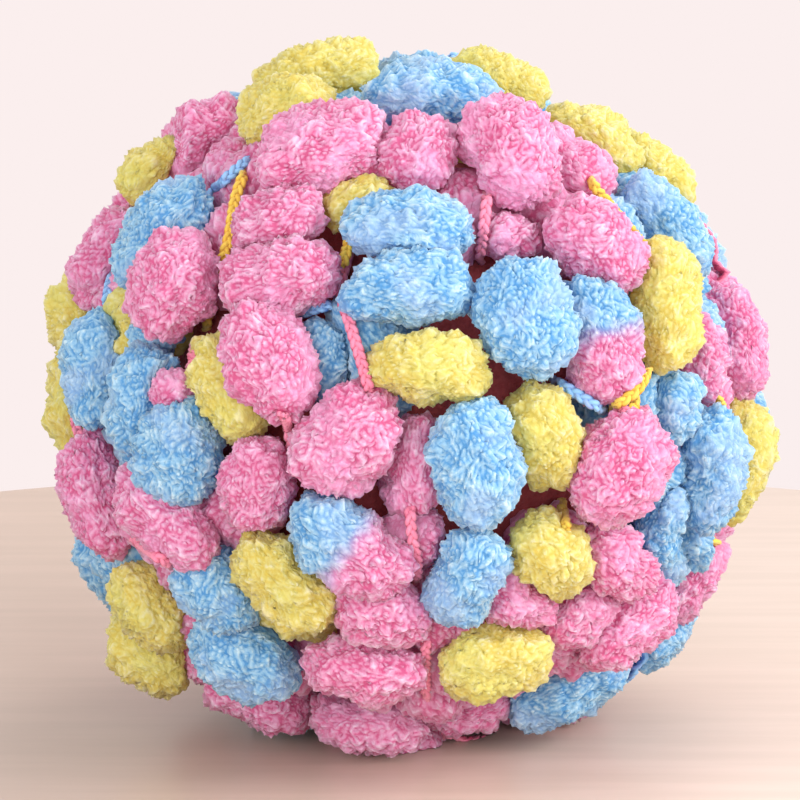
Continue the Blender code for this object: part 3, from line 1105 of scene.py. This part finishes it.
def hidden_routes(puffs):
    """Pairs of puff ends that a length of cord joins, furthest apart first, each end used
    once. Each pair is the dye and the two places."""
    ends = puff_ends(puffs)
    pairs = []
    for first, (one, start) in enumerate(ends):
        for second, (other, stop) in enumerate(ends[:first]):
            gap = np.linalg.norm(start - stop)
            if one != other and GAP_LEAST < gap < GAP_MOST:
                pairs.append((gap, first, second))
    used = set()
    routes = []
    for gap, first, second in sorted(pairs, reverse=True):
        if first in used or second in used or len(routes) >= LINKS_MOST:
            continue
        used.update((first, second))
        number, start = ends[first]
        routes.append((puffs[number].dye.split()[0], start, ends[second][1]))
    return routes


def hidden_lines(puffs, tree, move, lift):
    """Middle lines of the cord on the sides, top and back."""
    middle = MIDDLE + move
    lines = []
    for number, (dye, start, stop) in enumerate(hidden_routes(puffs)):
        steps = max(LINK_STEPS_LEAST, int(np.linalg.norm(stop - start) / CORD_STEP))
        share = np.linspace(-PAST_END, 1.0 + PAST_END, steps)[:, None]
        places = start + (stop - start) * share
        outs = unit_rows(places - middle)
        bow = unit(np.cross(outs[len(outs) // 2], stop - start)) * BOW * wave(number, BOW_WAVE)
        outs = unit_rows(outs + bow / LAYER[0] * np.sin(np.pi * np.clip(share, 0.0, 1.0)))
        starts = middle + outs * 2.0 * LAYER[0]
        lines.append((dye, laid(starts, -outs, tree, lift), outs))
    return lines


@functools.lru_cache(maxsize=1)
def cord_lines(sizes):
    puffs, move = placed_puffs()
    tree, _ = wound_ball(sizes)
    lines = front_lines(tree, move, sizes.cord_lift)
    return lines + hidden_lines(puffs, tree, move, sizes.cord_lift)


@functools.lru_cache(maxsize=1)
def cord_places(sizes):
    """A tree to look up how near a place is to the cord."""
    places = np.concatenate([line for _, line, _ in cord_lines(sizes)])
    tree = KDTree(len(places))
    for index, place in enumerate(places):
        tree.insert(place, index)
    tree.balance()
    return tree


# ---- Materials

def new_group(name, inputs, outputs):
    """A shader node group with its sockets. Each is a name and a kind, and inputs a default."""
    group = bpy.data.node_groups.new(name, "ShaderNodeTree")
    for key, kind, default in inputs:
        socket = group.interface.new_socket(key, in_out="INPUT", socket_type=kind)
        socket.default_value = default
    for key, kind in outputs:
        group.interface.new_socket(key, in_out="OUTPUT", socket_type=kind)
    return group, group.nodes.new("NodeGroupInput"), group.nodes.new("NodeGroupOutput")


def feed(tree, socket, value):
    """Joins another socket to the socket, or sets it to a value."""
    if isinstance(value, bpy.types.NodeSocket):
        tree.links.new(value, socket)
    else:
        socket.default_value = value


def add_node(tree, kind, inputs=None, **settings):
    """A node with its settings, and its inputs set to values or joined to other sockets."""
    node = tree.nodes.new(kind)
    for key, value in settings.items():
        setattr(node, key, value)
    for key, value in (inputs or {}).items():
        feed(tree, node.inputs[key], value)
    return node


def mixed(tree, share, first, second, blend="MIX"):
    """A colour between two, by a share."""
    node = add_node(tree, "ShaderNodeMix", data_type="RGBA", blend_type=blend)
    for index, value in ((0, share), (6, first), (7, second)):
        feed(tree, node.inputs[index], value)
    return node.outputs[2]


def maths(tree, operation, *values):
    inputs = dict(enumerate(values))
    return add_node(tree, "ShaderNodeMath", inputs, operation=operation).outputs[0]


def swung(tree, value, reach):
    """A share from 0 to 1 made into a number from half the reach below nought to half above."""
    return maths(tree, "MULTIPLY_ADD", value, reach, -reach / 2.0)


def ranged(tree, value, low, high, most=1.0):
    """A value brought from its range to one from nought to most, with a soft start and end."""
    inputs = {"Value": value, "From Min": low, "From Max": high, "To Max": most}
    node = add_node(tree, "ShaderNodeMapRange", inputs, interpolation_type="SMOOTHSTEP")
    return node.outputs["Result"]


def own_value(tree, name):
    return add_node(tree, "ShaderNodeAttribute", attribute_name=name).outputs["Fac"]


def place_of(tree):
    return add_node(tree, "ShaderNodeTexCoord").outputs["Object"]


def fleece_group():
    """Colour and height of fleece: deep painted shade in the crevices, a pale painted highlight at
    the tips, with fine curls.
    """
    colour = "NodeSocketColor"
    number = "NodeSocketFloat"
    inputs = (
        ("Crevice", colour, (0.5, 0.1, 0.2, 1.0)),
        ("Body", colour, (0.9, 0.3, 0.5, 1.0)),
        ("Tip", colour, (1.0, 0.6, 0.7, 1.0)),
        ("Drift", colour, (0.8, 0.5, 0.9, 1.0)),
    )
    outputs = (("Color", colour), ("Height", number))
    group, given, result = new_group("fleece", inputs, outputs)
    place = place_of(group)
    pile = own_value(group, "pile")
    tint = own_value(group, "tint")
    wander = add_node(
        group, "ShaderNodeTexNoise", {"Vector": place, "Scale": WANDER_SCALE, "Detail": 1.0},
    ).outputs["Color"]
    offset = add_node(
        group, "ShaderNodeVectorMath", {0: wander, 1: (WANDER, WANDER, WANDER), 2: place},
        operation="MULTIPLY_ADD",
    ).outputs[0]
    curls = add_node(
        group, "ShaderNodeTexVoronoi", {"Vector": offset, "Scale": CURL_SCALE},
        feature="DISTANCE_TO_EDGE",
    ).outputs["Distance"]
    curl = ranged(group, curls, 0.0, CURL_FULL)
    fibres = add_node(group, "ShaderNodeTexNoise", {
        "Vector": place, "Scale": FIBRE_SCALE, "Detail": 2.0, "Roughness": 0.6,
        "Distortion": 0.6,
    }).outputs["Fac"]
    patches = add_node(group, "ShaderNodeTexNoise", {
        "Vector": place, "Scale": PATCH_SCALE, "Detail": 2.0, "Roughness": 0.55,
        "Distortion": 0.5,
    }).outputs["Fac"]
    # The edges of the fine curls sink down the pile, so that painted shade lies between them
    loft = maths(group, "ADD", pile, swung(group, curl, CURL_LOFT))
    loft = maths(group, "ADD", loft, swung(group, patches, PATCH_LOFT))
    loft = maths(group, "ADD", loft, swung(group, fibres, FIBRE_LOFT))
    body_share = ranged(group, loft, *BODY_RANGE)
    base = mixed(group, body_share, given.outputs["Crevice"], given.outputs["Body"])
    base = mixed(group, ranged(group, loft, *HIGHLIGHT_RANGE), base, given.outputs["Tip"])
    drift = ranged(group, tint, *DRIFT_RANGE, DRIFT_MOST)
    base = mixed(group, drift, base, given.outputs["Drift"])
    height = maths(group, "MULTIPLY_ADD", fibres, FIBRE_HEIGHT, curl)
    group.links.new(base, result.inputs["Color"])
    group.links.new(height, result.inputs["Height"])
    return group


def rgba(colour):
    return (*colour, 1.0)


def soft_surface(material, colour, height, bump_depth, sheen, glow=0.0):
    """Sets the material's own surface as cloth fibre. glow is the share of light that goes on
    through the fibres."""
    tree = material.node_tree
    surface = tree.nodes["Principled BSDF"]
    bump = add_node(
        tree, "ShaderNodeBump", {"Height": height, "Strength": 0.8, "Distance": bump_depth},
    )
    for key, value in (
        ("Base Color", colour),
        ("Normal", bump.outputs["Normal"]),
        ("Roughness", 0.95),
        ("Metallic", 0.0),
        ("Specular IOR Level", 0.15),
        ("Sheen Weight", sheen),
        ("Sheen Roughness", 0.45),
    ):
        feed(tree, surface.inputs[key], value)
    if glow > 0.0:
        through_fibres = add_node(tree, "ShaderNodeBsdfTranslucent", {"Color": colour})
        both = add_node(tree, "ShaderNodeMixShader", {
            0: glow, 1: surface.outputs[0], 2: through_fibres.outputs[0],
        })
        tree.links.new(both.outputs[0], tree.nodes["Material Output"].inputs["Surface"])


def named_material(name):
    material = bpy.data.materials.new(name)
    material.use_nodes = True
    return material


def fleece_material(name, dyes, colours):
    """Fleece in one dye, or two that meet where the puff's own blend says."""
    material = named_material(name)
    tree = material.node_tree
    group = bpy.data.node_groups.get("fleece") or fleece_group()
    nodes = []
    for dye in dyes:
        inputs = {key.title(): rgba(getattr(colours, dye + "_" + key)) for key in FLEECE_SHADES}
        nodes.append(add_node(tree, "ShaderNodeGroup", inputs, node_tree=group))
    colour = nodes[0].outputs["Color"]
    if len(nodes) > 1:
        colour = mixed(tree, own_value(tree, "blend"), colour, nodes[1].outputs["Color"])
    height = nodes[0].outputs["Height"]
    soft_surface(material, colour, height, FLEECE_BUMP, FLEECE_SHEEN, FLEECE_GLOW)
    return material


def cord_group():
    """Colour and height of braided cord: fine slanting fibres, and painted shade darker between
    the strands.
    """
    colour = "NodeSocketColor"
    inputs = (
        ("Crevice", colour, (0.5, 0.1, 0.2, 1.0)),
        ("Body", colour, (0.9, 0.3, 0.5, 1.0)),
        ("Drift", colour, (0.9, 0.5, 0.6, 1.0)),
    )
    outputs = (("Color", colour), ("Height", "NodeSocketFloat"))
    group, given, result = new_group("braid", inputs, outputs)
    fibres = add_node(group, "ShaderNodeTexNoise", {
        "Vector": place_of(group), "Scale": CORD_FIBRE_SCALE, "Detail": 2.0, "Distortion": 1.2,
    }).outputs["Fac"]
    pile = own_value(group, "pile")
    loft = maths(group, "ADD", pile, swung(group, fibres, CORD_FIBRE_LOFT))
    body_share = ranged(group, loft, *CORD_BODY_RANGE)
    base = mixed(group, body_share, given.outputs["Crevice"], given.outputs["Body"])
    drift = ranged(group, own_value(group, "tint"), *CORD_DRIFT_RANGE, CORD_DRIFT_MOST)
    base = mixed(group, drift, base, given.outputs["Drift"])
    group.links.new(base, result.inputs["Color"])
    group.links.new(fibres, result.inputs["Height"])
    return group


def cord_material(dye, colours):
    material = named_material(dye + "_cord")
    tree = material.node_tree
    group = bpy.data.node_groups.get("braid") or cord_group()
    node = add_node(tree, "ShaderNodeGroup", {
        "Crevice": rgba(getattr(colours, dye + "_cord_crevice")),
        "Body": rgba(getattr(colours, dye + "_cord")),
        "Drift": rgba(getattr(colours, dye + "_cord_drift")),
    }, node_tree=group)
    soft_surface(material, node.outputs["Color"], node.outputs["Height"], CORD_BUMP, CORD_SHEEN)
    return material


def winding_material(colours):
    material = named_material("inner_winding")
    tree = material.node_tree
    fibres = add_node(
        tree, "ShaderNodeTexNoise",
        {"Vector": place_of(tree), "Scale": 500.0, "Detail": 3.0},
    ).outputs["Fac"]
    # Dark reds that are painted shade deep in the gaps, mottled by fibres
    colour = mixed(tree, fibres, rgba(colours.inner_dark), rgba(colours.inner_light))
    soft_surface(material, colour, fibres, WINDING_BUMP, CORD_SHEEN)
    return material


def table_material(colours):
    """Pale table with a faint grain that runs across, painted shade to the left and a painted pool
    of light in front of the ball.
    """
    material = named_material("table")
    tree = material.node_tree
    surface = tree.nodes["Principled BSDF"]
    place = place_of(tree)
    stretch = add_node(
        tree, "ShaderNodeMapping", {"Vector": place, "Scale": TABLE_GRAIN_STRETCH},
    ).outputs["Vector"]
    grain = add_node(
        tree, "ShaderNodeTexNoise",
        {"Vector": stretch, "Scale": 4.0, "Detail": 5.0, "Roughness": 0.6},
    ).outputs["Fac"]
    share = ranged(tree, grain, *TABLE_GRAIN_RANGE)
    colour = mixed(tree, share, rgba(colours.table_dark), rgba(colours.table_light))
    # Painted shade to the left
    across = add_node(tree, "ShaderNodeSeparateXYZ", {"Vector": place}).outputs["X"]
    shade_share = ranged(tree, across, *TABLE_SHADE_RANGE)
    shade = mixed(tree, shade_share, rgba(colours.table_shade), rgba(WHITE))
    colour = mixed(tree, 1.0, colour, shade, "MULTIPLY")
    # A painted pool of light on a spot in front of the ball, darker away from it
    gap = add_node(
        tree, "ShaderNodeVectorMath", {0: place, 1: TABLE_LIGHT_POOL_SPOT}, operation="DISTANCE",
    ).outputs["Value"]
    out_of_light_pool_share = ranged(tree, gap, *TABLE_LIGHT_POOL_RANGE)
    far = mixed(tree, out_of_light_pool_share, rgba(WHITE), rgba(colours.table_far))
    colour = mixed(tree, 1.0, colour, far, "MULTIPLY")
    tree.links.new(colour, surface.inputs["Base Color"])
    rough = maths(tree, "MULTIPLY_ADD", grain, TABLE_ROUGH_GRAIN, TABLE_ROUGH)
    tree.links.new(rough, surface.inputs["Roughness"])
    surface.inputs["Specular IOR Level"].default_value = 0.35
    return material


# ---- Settings

def length_setting(name, description, default):
    return FloatProperty(
        name=name, description=description, default=default, unit="LENGTH", subtype="DISTANCE",
    )


def share_setting(name, description, default):
    return FloatProperty(name=name, description=description, default=default)


def colour_setting(name, description, default):
    return FloatVectorProperty(
        name=name, description=description, default=default, subtype="COLOR", size=3,
        min=0.0, max=1.0,
    )


class YarnSizes(bpy.types.PropertyGroup):
    """Sizes of the fleece and the cord."""

    curl_spacing: length_setting("Curl spacing", "From one curl's middle to the next", 1.58 * MM)
    curl_height: length_setting("Curl height", "How far a curl stands out", 0.90 * MM)
    curl_lean: share_setting("Curl lean", "How far the curls lean together", 0.45)
    curl_run: length_setting("Curl run", "How soon the curls' way changes", 4.2 * MM)
    softness: share_setting("Softness", "How much the curls shade as one soft skin", 0.30)
    clump_size: length_setting("Clump size", "How wide a clump of curls is", 3.5 * MM)
    clump_height: length_setting("Clump height", "How far a clump stands out", 1.65 * MM)
    lump_size: length_setting("Lump size", "How wide the puffs' lumps are", 6.0 * MM)
    lump_height: length_setting("Lump height", "How high the puffs' lumps are", 1.9 * MM)
    inset: length_setting("Inset", "How far the core is under the fleece's outside", 2.1 * MM)
    groove: share_setting("Groove", "How much room puffs leave where they touch", 0.02)
    plump: share_setting("Plumpness", "2 is an oval, and more is fuller", 2.35)
    cord_width: length_setting("Cord width", "Width of the braided cord", 3.0 * MM)
    cord_turn: length_setting("Braid turn", "Length of one full turn of the braid", 7.5 * MM)
    cord_lift: length_setting("Cord lift", "From the puffs' skin to the cord's middle", 2.5 * MM)
    inner_radius: length_setting("Inner winding", "Radius of the wound middle", 69.0 * MM)


class YarnColours(bpy.types.PropertyGroup):
    """Linear colours of the yarn and the table."""

    # Fleece: the crevice colour is painted shade and the tip colour a painted highlight; body and
    # drift are the dye's own tones
    pink_crevice: colour_setting("Pink crevice", "Deep in pink fleece", (0.69, 0.13, 0.30))
    pink_body: colour_setting("Pink body", "Middle of pink fleece", (0.83, 0.37, 0.59))
    pink_tip: colour_setting("Pink tip", "Tips of pink fleece", (0.93, 0.66, 0.84))
    pink_drift: colour_setting("Pink drift", "Where pink fleece varies", (0.93, 0.46, 0.74))
    blue_crevice: colour_setting("Blue crevice", "Deep in blue fleece", (0.11, 0.35, 0.68))
    blue_body: colour_setting("Blue body", "Middle of blue fleece", (0.34, 0.61, 0.83))
    blue_tip: colour_setting("Blue tip", "Tips of blue fleece", (0.66, 0.87, 0.96))
    blue_drift: colour_setting("Blue drift", "Where blue fleece varies", (0.50, 0.66, 0.92))
    yellow_crevice: colour_setting("Yellow crevice", "Deep in yellow fleece", (0.72, 0.58, 0.12))
    yellow_body: colour_setting("Yellow body", "Middle of yellow fleece", (0.79, 0.71, 0.24))
    yellow_tip: colour_setting("Yellow tip", "Tips of yellow fleece", (0.88, 0.84, 0.49))
    yellow_drift: colour_setting("Yellow drift", "Where yellow fleece varies", (0.76, 0.76, 0.22))
    # Cord: its crevice colour is painted shade between and under the strands
    pink_cord: colour_setting("Pink cord", "Pink cord", (0.78, 0.24, 0.36))
    pink_cord_crevice: colour_setting("Pink cord crevice", "Its crevices", (0.48, 0.05, 0.12))
    pink_cord_drift: colour_setting("Pink cord drift", "Where it varies", (0.82, 0.33, 0.48))
    blue_cord: colour_setting("Blue cord", "Blue cord", (0.27, 0.52, 0.82))
    blue_cord_crevice: colour_setting("Blue cord crevice", "Its crevices", (0.05, 0.14, 0.42))
    blue_cord_drift: colour_setting("Blue cord drift", "Where it varies", (0.30, 0.33, 0.72))
    yellow_cord: colour_setting("Yellow cord", "Yellow cord", (0.78, 0.58, 0.10))
    yellow_cord_crevice: colour_setting("Yellow cord crevice", "Its crevices", (0.60, 0.22, 0.01))
    yellow_cord_drift: colour_setting("Yellow cord drift", "Where it varies", (0.74, 0.42, 0.05))
    # The wound middle's dark reds are painted shade for the deep gaps
    inner_dark: colour_setting("Inner dark", "Dark of the wound middle", (0.22, 0.030, 0.035))
    inner_light: colour_setting("Inner light", "Light of the wound middle", (0.42, 0.085, 0.090))
    table_dark: colour_setting("Table dark", "The table's grain", (0.72, 0.59, 0.50))
    # How much the table darkens away from its painted pool of light, and how much painted shade
    # darkens it at left
    table_far: colour_setting("Table far", "How the table darkens away", (0.74, 0.73, 0.73))
    table_shade: colour_setting("Table shade", "How the table darkens at left", (0.76, 0.70, 0.66))
    table_light: colour_setting("Table light", "The table between grain", (0.80, 0.66, 0.57))


class YarnStage(bpy.types.PropertyGroup):
    """Sizes and strengths of the table, light and camera."""

    table_radius: length_setting("Table radius", "Radius of the table top", 0.335)
    key_power: share_setting("Key light", "Power of the light from the right", 5.8)
    fill_power: share_setting("Fill light", "Power of the light from the left", 3.7)
    card_power: share_setting("Card light", "Power of the low light in front", 0.6)
    rim_power: share_setting("Rim light", "Power of the light from above", 2.3)
    back_power: share_setting("Back light", "Power of the light from behind", 2.2)
    sky_light: share_setting("Sky light", "Strength of the light all round", 0.95)
    backdrop: colour_setting("Backdrop", "What the camera sees behind", (0.965, 0.862, 0.855))
    frame_width: length_setting("Frame width", "Width that the camera shows", 0.2105)
    shift_across: share_setting("Shift across", "Camera shift across", -7.0 / 800.0)
    shift_up: share_setting("Shift up", "Camera shift up", -8.5 / 800.0)


def chosen_sizes(context):
    settings = context.scene.yarn_sizes
    return Sizes(*(getattr(settings, key) for key in Sizes._fields))


# ---- Operators

DYE_ITEMS = (
    ("pink", "Pink", "Pink puffs"),
    ("blue", "Blue", "Blue puffs"),
    ("yellow", "Yellow", "Yellow puffs"),
    ("blue_pink", "Blue and pink", "Puffs that are blue at one end and pink at the other"),
)


class YARN_OT_puffs(bpy.types.Operator):
    """Make the fleece puffs of one dye, or those with two"""

    bl_idname = "yarn.puffs"
    bl_label = "Fleece puffs"

    dye: EnumProperty(name="Dye", description="Which puffs", items=DYE_ITEMS)

    def execute(self, context):
        sizes = chosen_sizes(context)
        puffs, _ = placed_puffs()
        dyes = self.dye.split("_")
        wanted = [n for n, puff in enumerate(puffs) if puff.dye.split() == dyes]
        material = fleece_material(self.dye + "_fleece", dyes, context.scene.yarn_colours)
        pieces = math.ceil(len(wanted) / PUFFS_A_PIECE)
        for number in range(pieces):
            name = f"{self.dye}_puffs_{number + 1}"
            fleece_piece(name, wanted[number::pieces], material, sizes)
        return {"FINISHED"}


class YARN_OT_winding(bpy.types.Operator):
    """Make the wound middle, whose dark colour is painted shade in the deepest gaps"""

    bl_idname = "yarn.winding"
    bl_label = "Inner winding"

    def execute(self, context):
        points, ways, faces = inner_places(chosen_sizes(context))
        plain = np.full(len(points), 0.5)
        corners = square_corners(ways, faces)
        cover = Cover(points, faces, plain, plain, plain, ways, corners)
        material = winding_material(context.scene.yarn_colours)
        mesh_piece("inner_winding", cover, material)
        return {"FINISHED"}


class YARN_OT_cord(bpy.types.Operator):
    """Make the lengths of braided cord that show, in one dye"""

    bl_idname = "yarn.cord"
    bl_label = "Braided cord"

    dye: EnumProperty(name="Dye", description="Which cord", items=DYE_ITEMS[:3])

    def execute(self, context):
        sizes = chosen_sizes(context)
        covers = []
        for number, (dye, line, outs) in enumerate(cord_lines(sizes)):
            if dye == self.dye:
                covers += braid_cover(line, outs, sizes, number)
        material = cord_material(self.dye, context.scene.yarn_colours)
        mesh_piece(self.dye + "_cord", joined(covers), material)
        return {"FINISHED"}


def area_light(lamp, power):
    data = bpy.data.lights.new(lamp.name, "AREA")
    data.shape = "DISK"
    data.size = lamp.size
    data.energy = power
    data.color = lamp.colour
    light = bpy.data.objects.new(lamp.name, data)
    light.location = lamp.place
    way = Vector(lamp.aim) - Vector(lamp.place)
    light.rotation_euler = way.to_track_quat("-Z", "Y").to_euler()
    bpy.context.scene.collection.objects.link(light)
    return light


def add_table(stage, colours):
    mesh = bpy.data.meshes.new("table")
    disc = bmesh.new()
    bmesh.ops.create_circle(
        disc, cap_ends=True, segments=TABLE_SIDES, radius=stage.table_radius,
    )
    disc.to_mesh(mesh)
    disc.free()
    mesh.materials.append(table_material(colours))
    table = bpy.data.objects.new("table", mesh)
    bpy.context.scene.collection.objects.link(table)
    return table


def set_room(stage):
    """Soft light all round, and the plain backdrop that the camera sees."""
    world = bpy.data.worlds.new("soft_room")
    bpy.context.scene.world = world
    world.use_nodes = True
    tree = world.node_tree
    seen = tree.nodes["Background"]
    seen.inputs["Color"].default_value = rgba(stage.backdrop)
    seen.inputs["Strength"].default_value = 1.0
    felt = add_node(tree, "ShaderNodeBackground", {
        "Color": rgba(SKY_COLOUR), "Strength": stage.sky_light,
    })
    path = add_node(tree, "ShaderNodeLightPath")
    mix = add_node(tree, "ShaderNodeMixShader", {
        0: path.outputs["Is Camera Ray"], 1: felt.outputs[0], 2: seen.outputs[0],
    })
    tree.links.new(mix.outputs[0], tree.nodes["World Output"].inputs["Surface"])


def add_camera(stage, move):
    """The camera of the front view."""
    lens = bpy.data.cameras.new("camera")
    camera = bpy.data.objects.new("camera", lens)
    _, _, forward = view_ways()
    aim = np.array((move[0], move[1], VIEW_AIM_HEIGHT))
    camera.location = aim - VIEW_DISTANCE * forward
    camera.rotation_euler = (math.radians(90.0 - VIEW_RISE_DEG), 0.0, 0.0)
    lens.angle = 2.0 * math.atan(stage.frame_width / 2.0 / VIEW_DISTANCE)
    lens.shift_x = stage.shift_across
    lens.shift_y = stage.shift_up
    bpy.context.scene.collection.objects.link(camera)
    bpy.context.scene.camera = camera


class YARN_OT_stage(bpy.types.Operator):
    """Make the table, the light and the camera"""

    bl_idname = "yarn.stage"
    bl_label = "Stage"

    def execute(self, context):
        stage = context.scene.yarn_stage
        _, move = placed_puffs()
        add_table(stage, context.scene.yarn_colours)
        set_room(stage)
        for lamp in LAMPS:
            area_light(lamp, getattr(stage, lamp.name + "_power"))
        add_camera(stage, move)
        context.scene.view_settings.view_transform = "Standard"
        return {"FINISHED"}


class YARN_PT_panel(bpy.types.Panel):
    """The yarn ball's pieces"""

    bl_label = "Pompom yarn ball"
    bl_idname = "YARN_PT_panel"
    bl_space_type = "VIEW_3D"
    bl_region_type = "UI"
    bl_category = "Yarn"

    def draw(self, context):
        layout = self.layout
        for dye, label, _ in DYE_ITEMS:
            layout.operator("yarn.puffs", text=label + " puffs").dye = dye
        layout.operator("yarn.winding")
        for dye, label, _ in DYE_ITEMS[:3]:
            layout.operator("yarn.cord", text=label + " cord").dye = dye
        layout.operator("yarn.stage")


CLASSES = (
    YarnSizes, YarnColours, YarnStage, YARN_OT_puffs, YARN_OT_winding, YARN_OT_cord,
    YARN_OT_stage, YARN_PT_panel,
)


def register():
    for cls in CLASSES:
        bpy.utils.register_class(cls)
    bpy.types.Scene.yarn_sizes = PointerProperty(type=YarnSizes)
    bpy.types.Scene.yarn_colours = PointerProperty(type=YarnColours)
    bpy.types.Scene.yarn_stage = PointerProperty(type=YarnStage)


def unregister():
    del bpy.types.Scene.yarn_stage
    del bpy.types.Scene.yarn_colours
    del bpy.types.Scene.yarn_sizes
    for cls in reversed(CLASSES):
        bpy.utils.unregister_class(cls)


def main():
    register()
    for dye, _, _ in DYE_ITEMS:
        bpy.ops.yarn.puffs(dye=dye)
    bpy.ops.yarn.winding()
    for dye, _, _ in DYE_ITEMS[:3]:
        bpy.ops.yarn.cord(dye=dye)
    bpy.ops.yarn.stage()


if __name__ == "__main__":
    main()
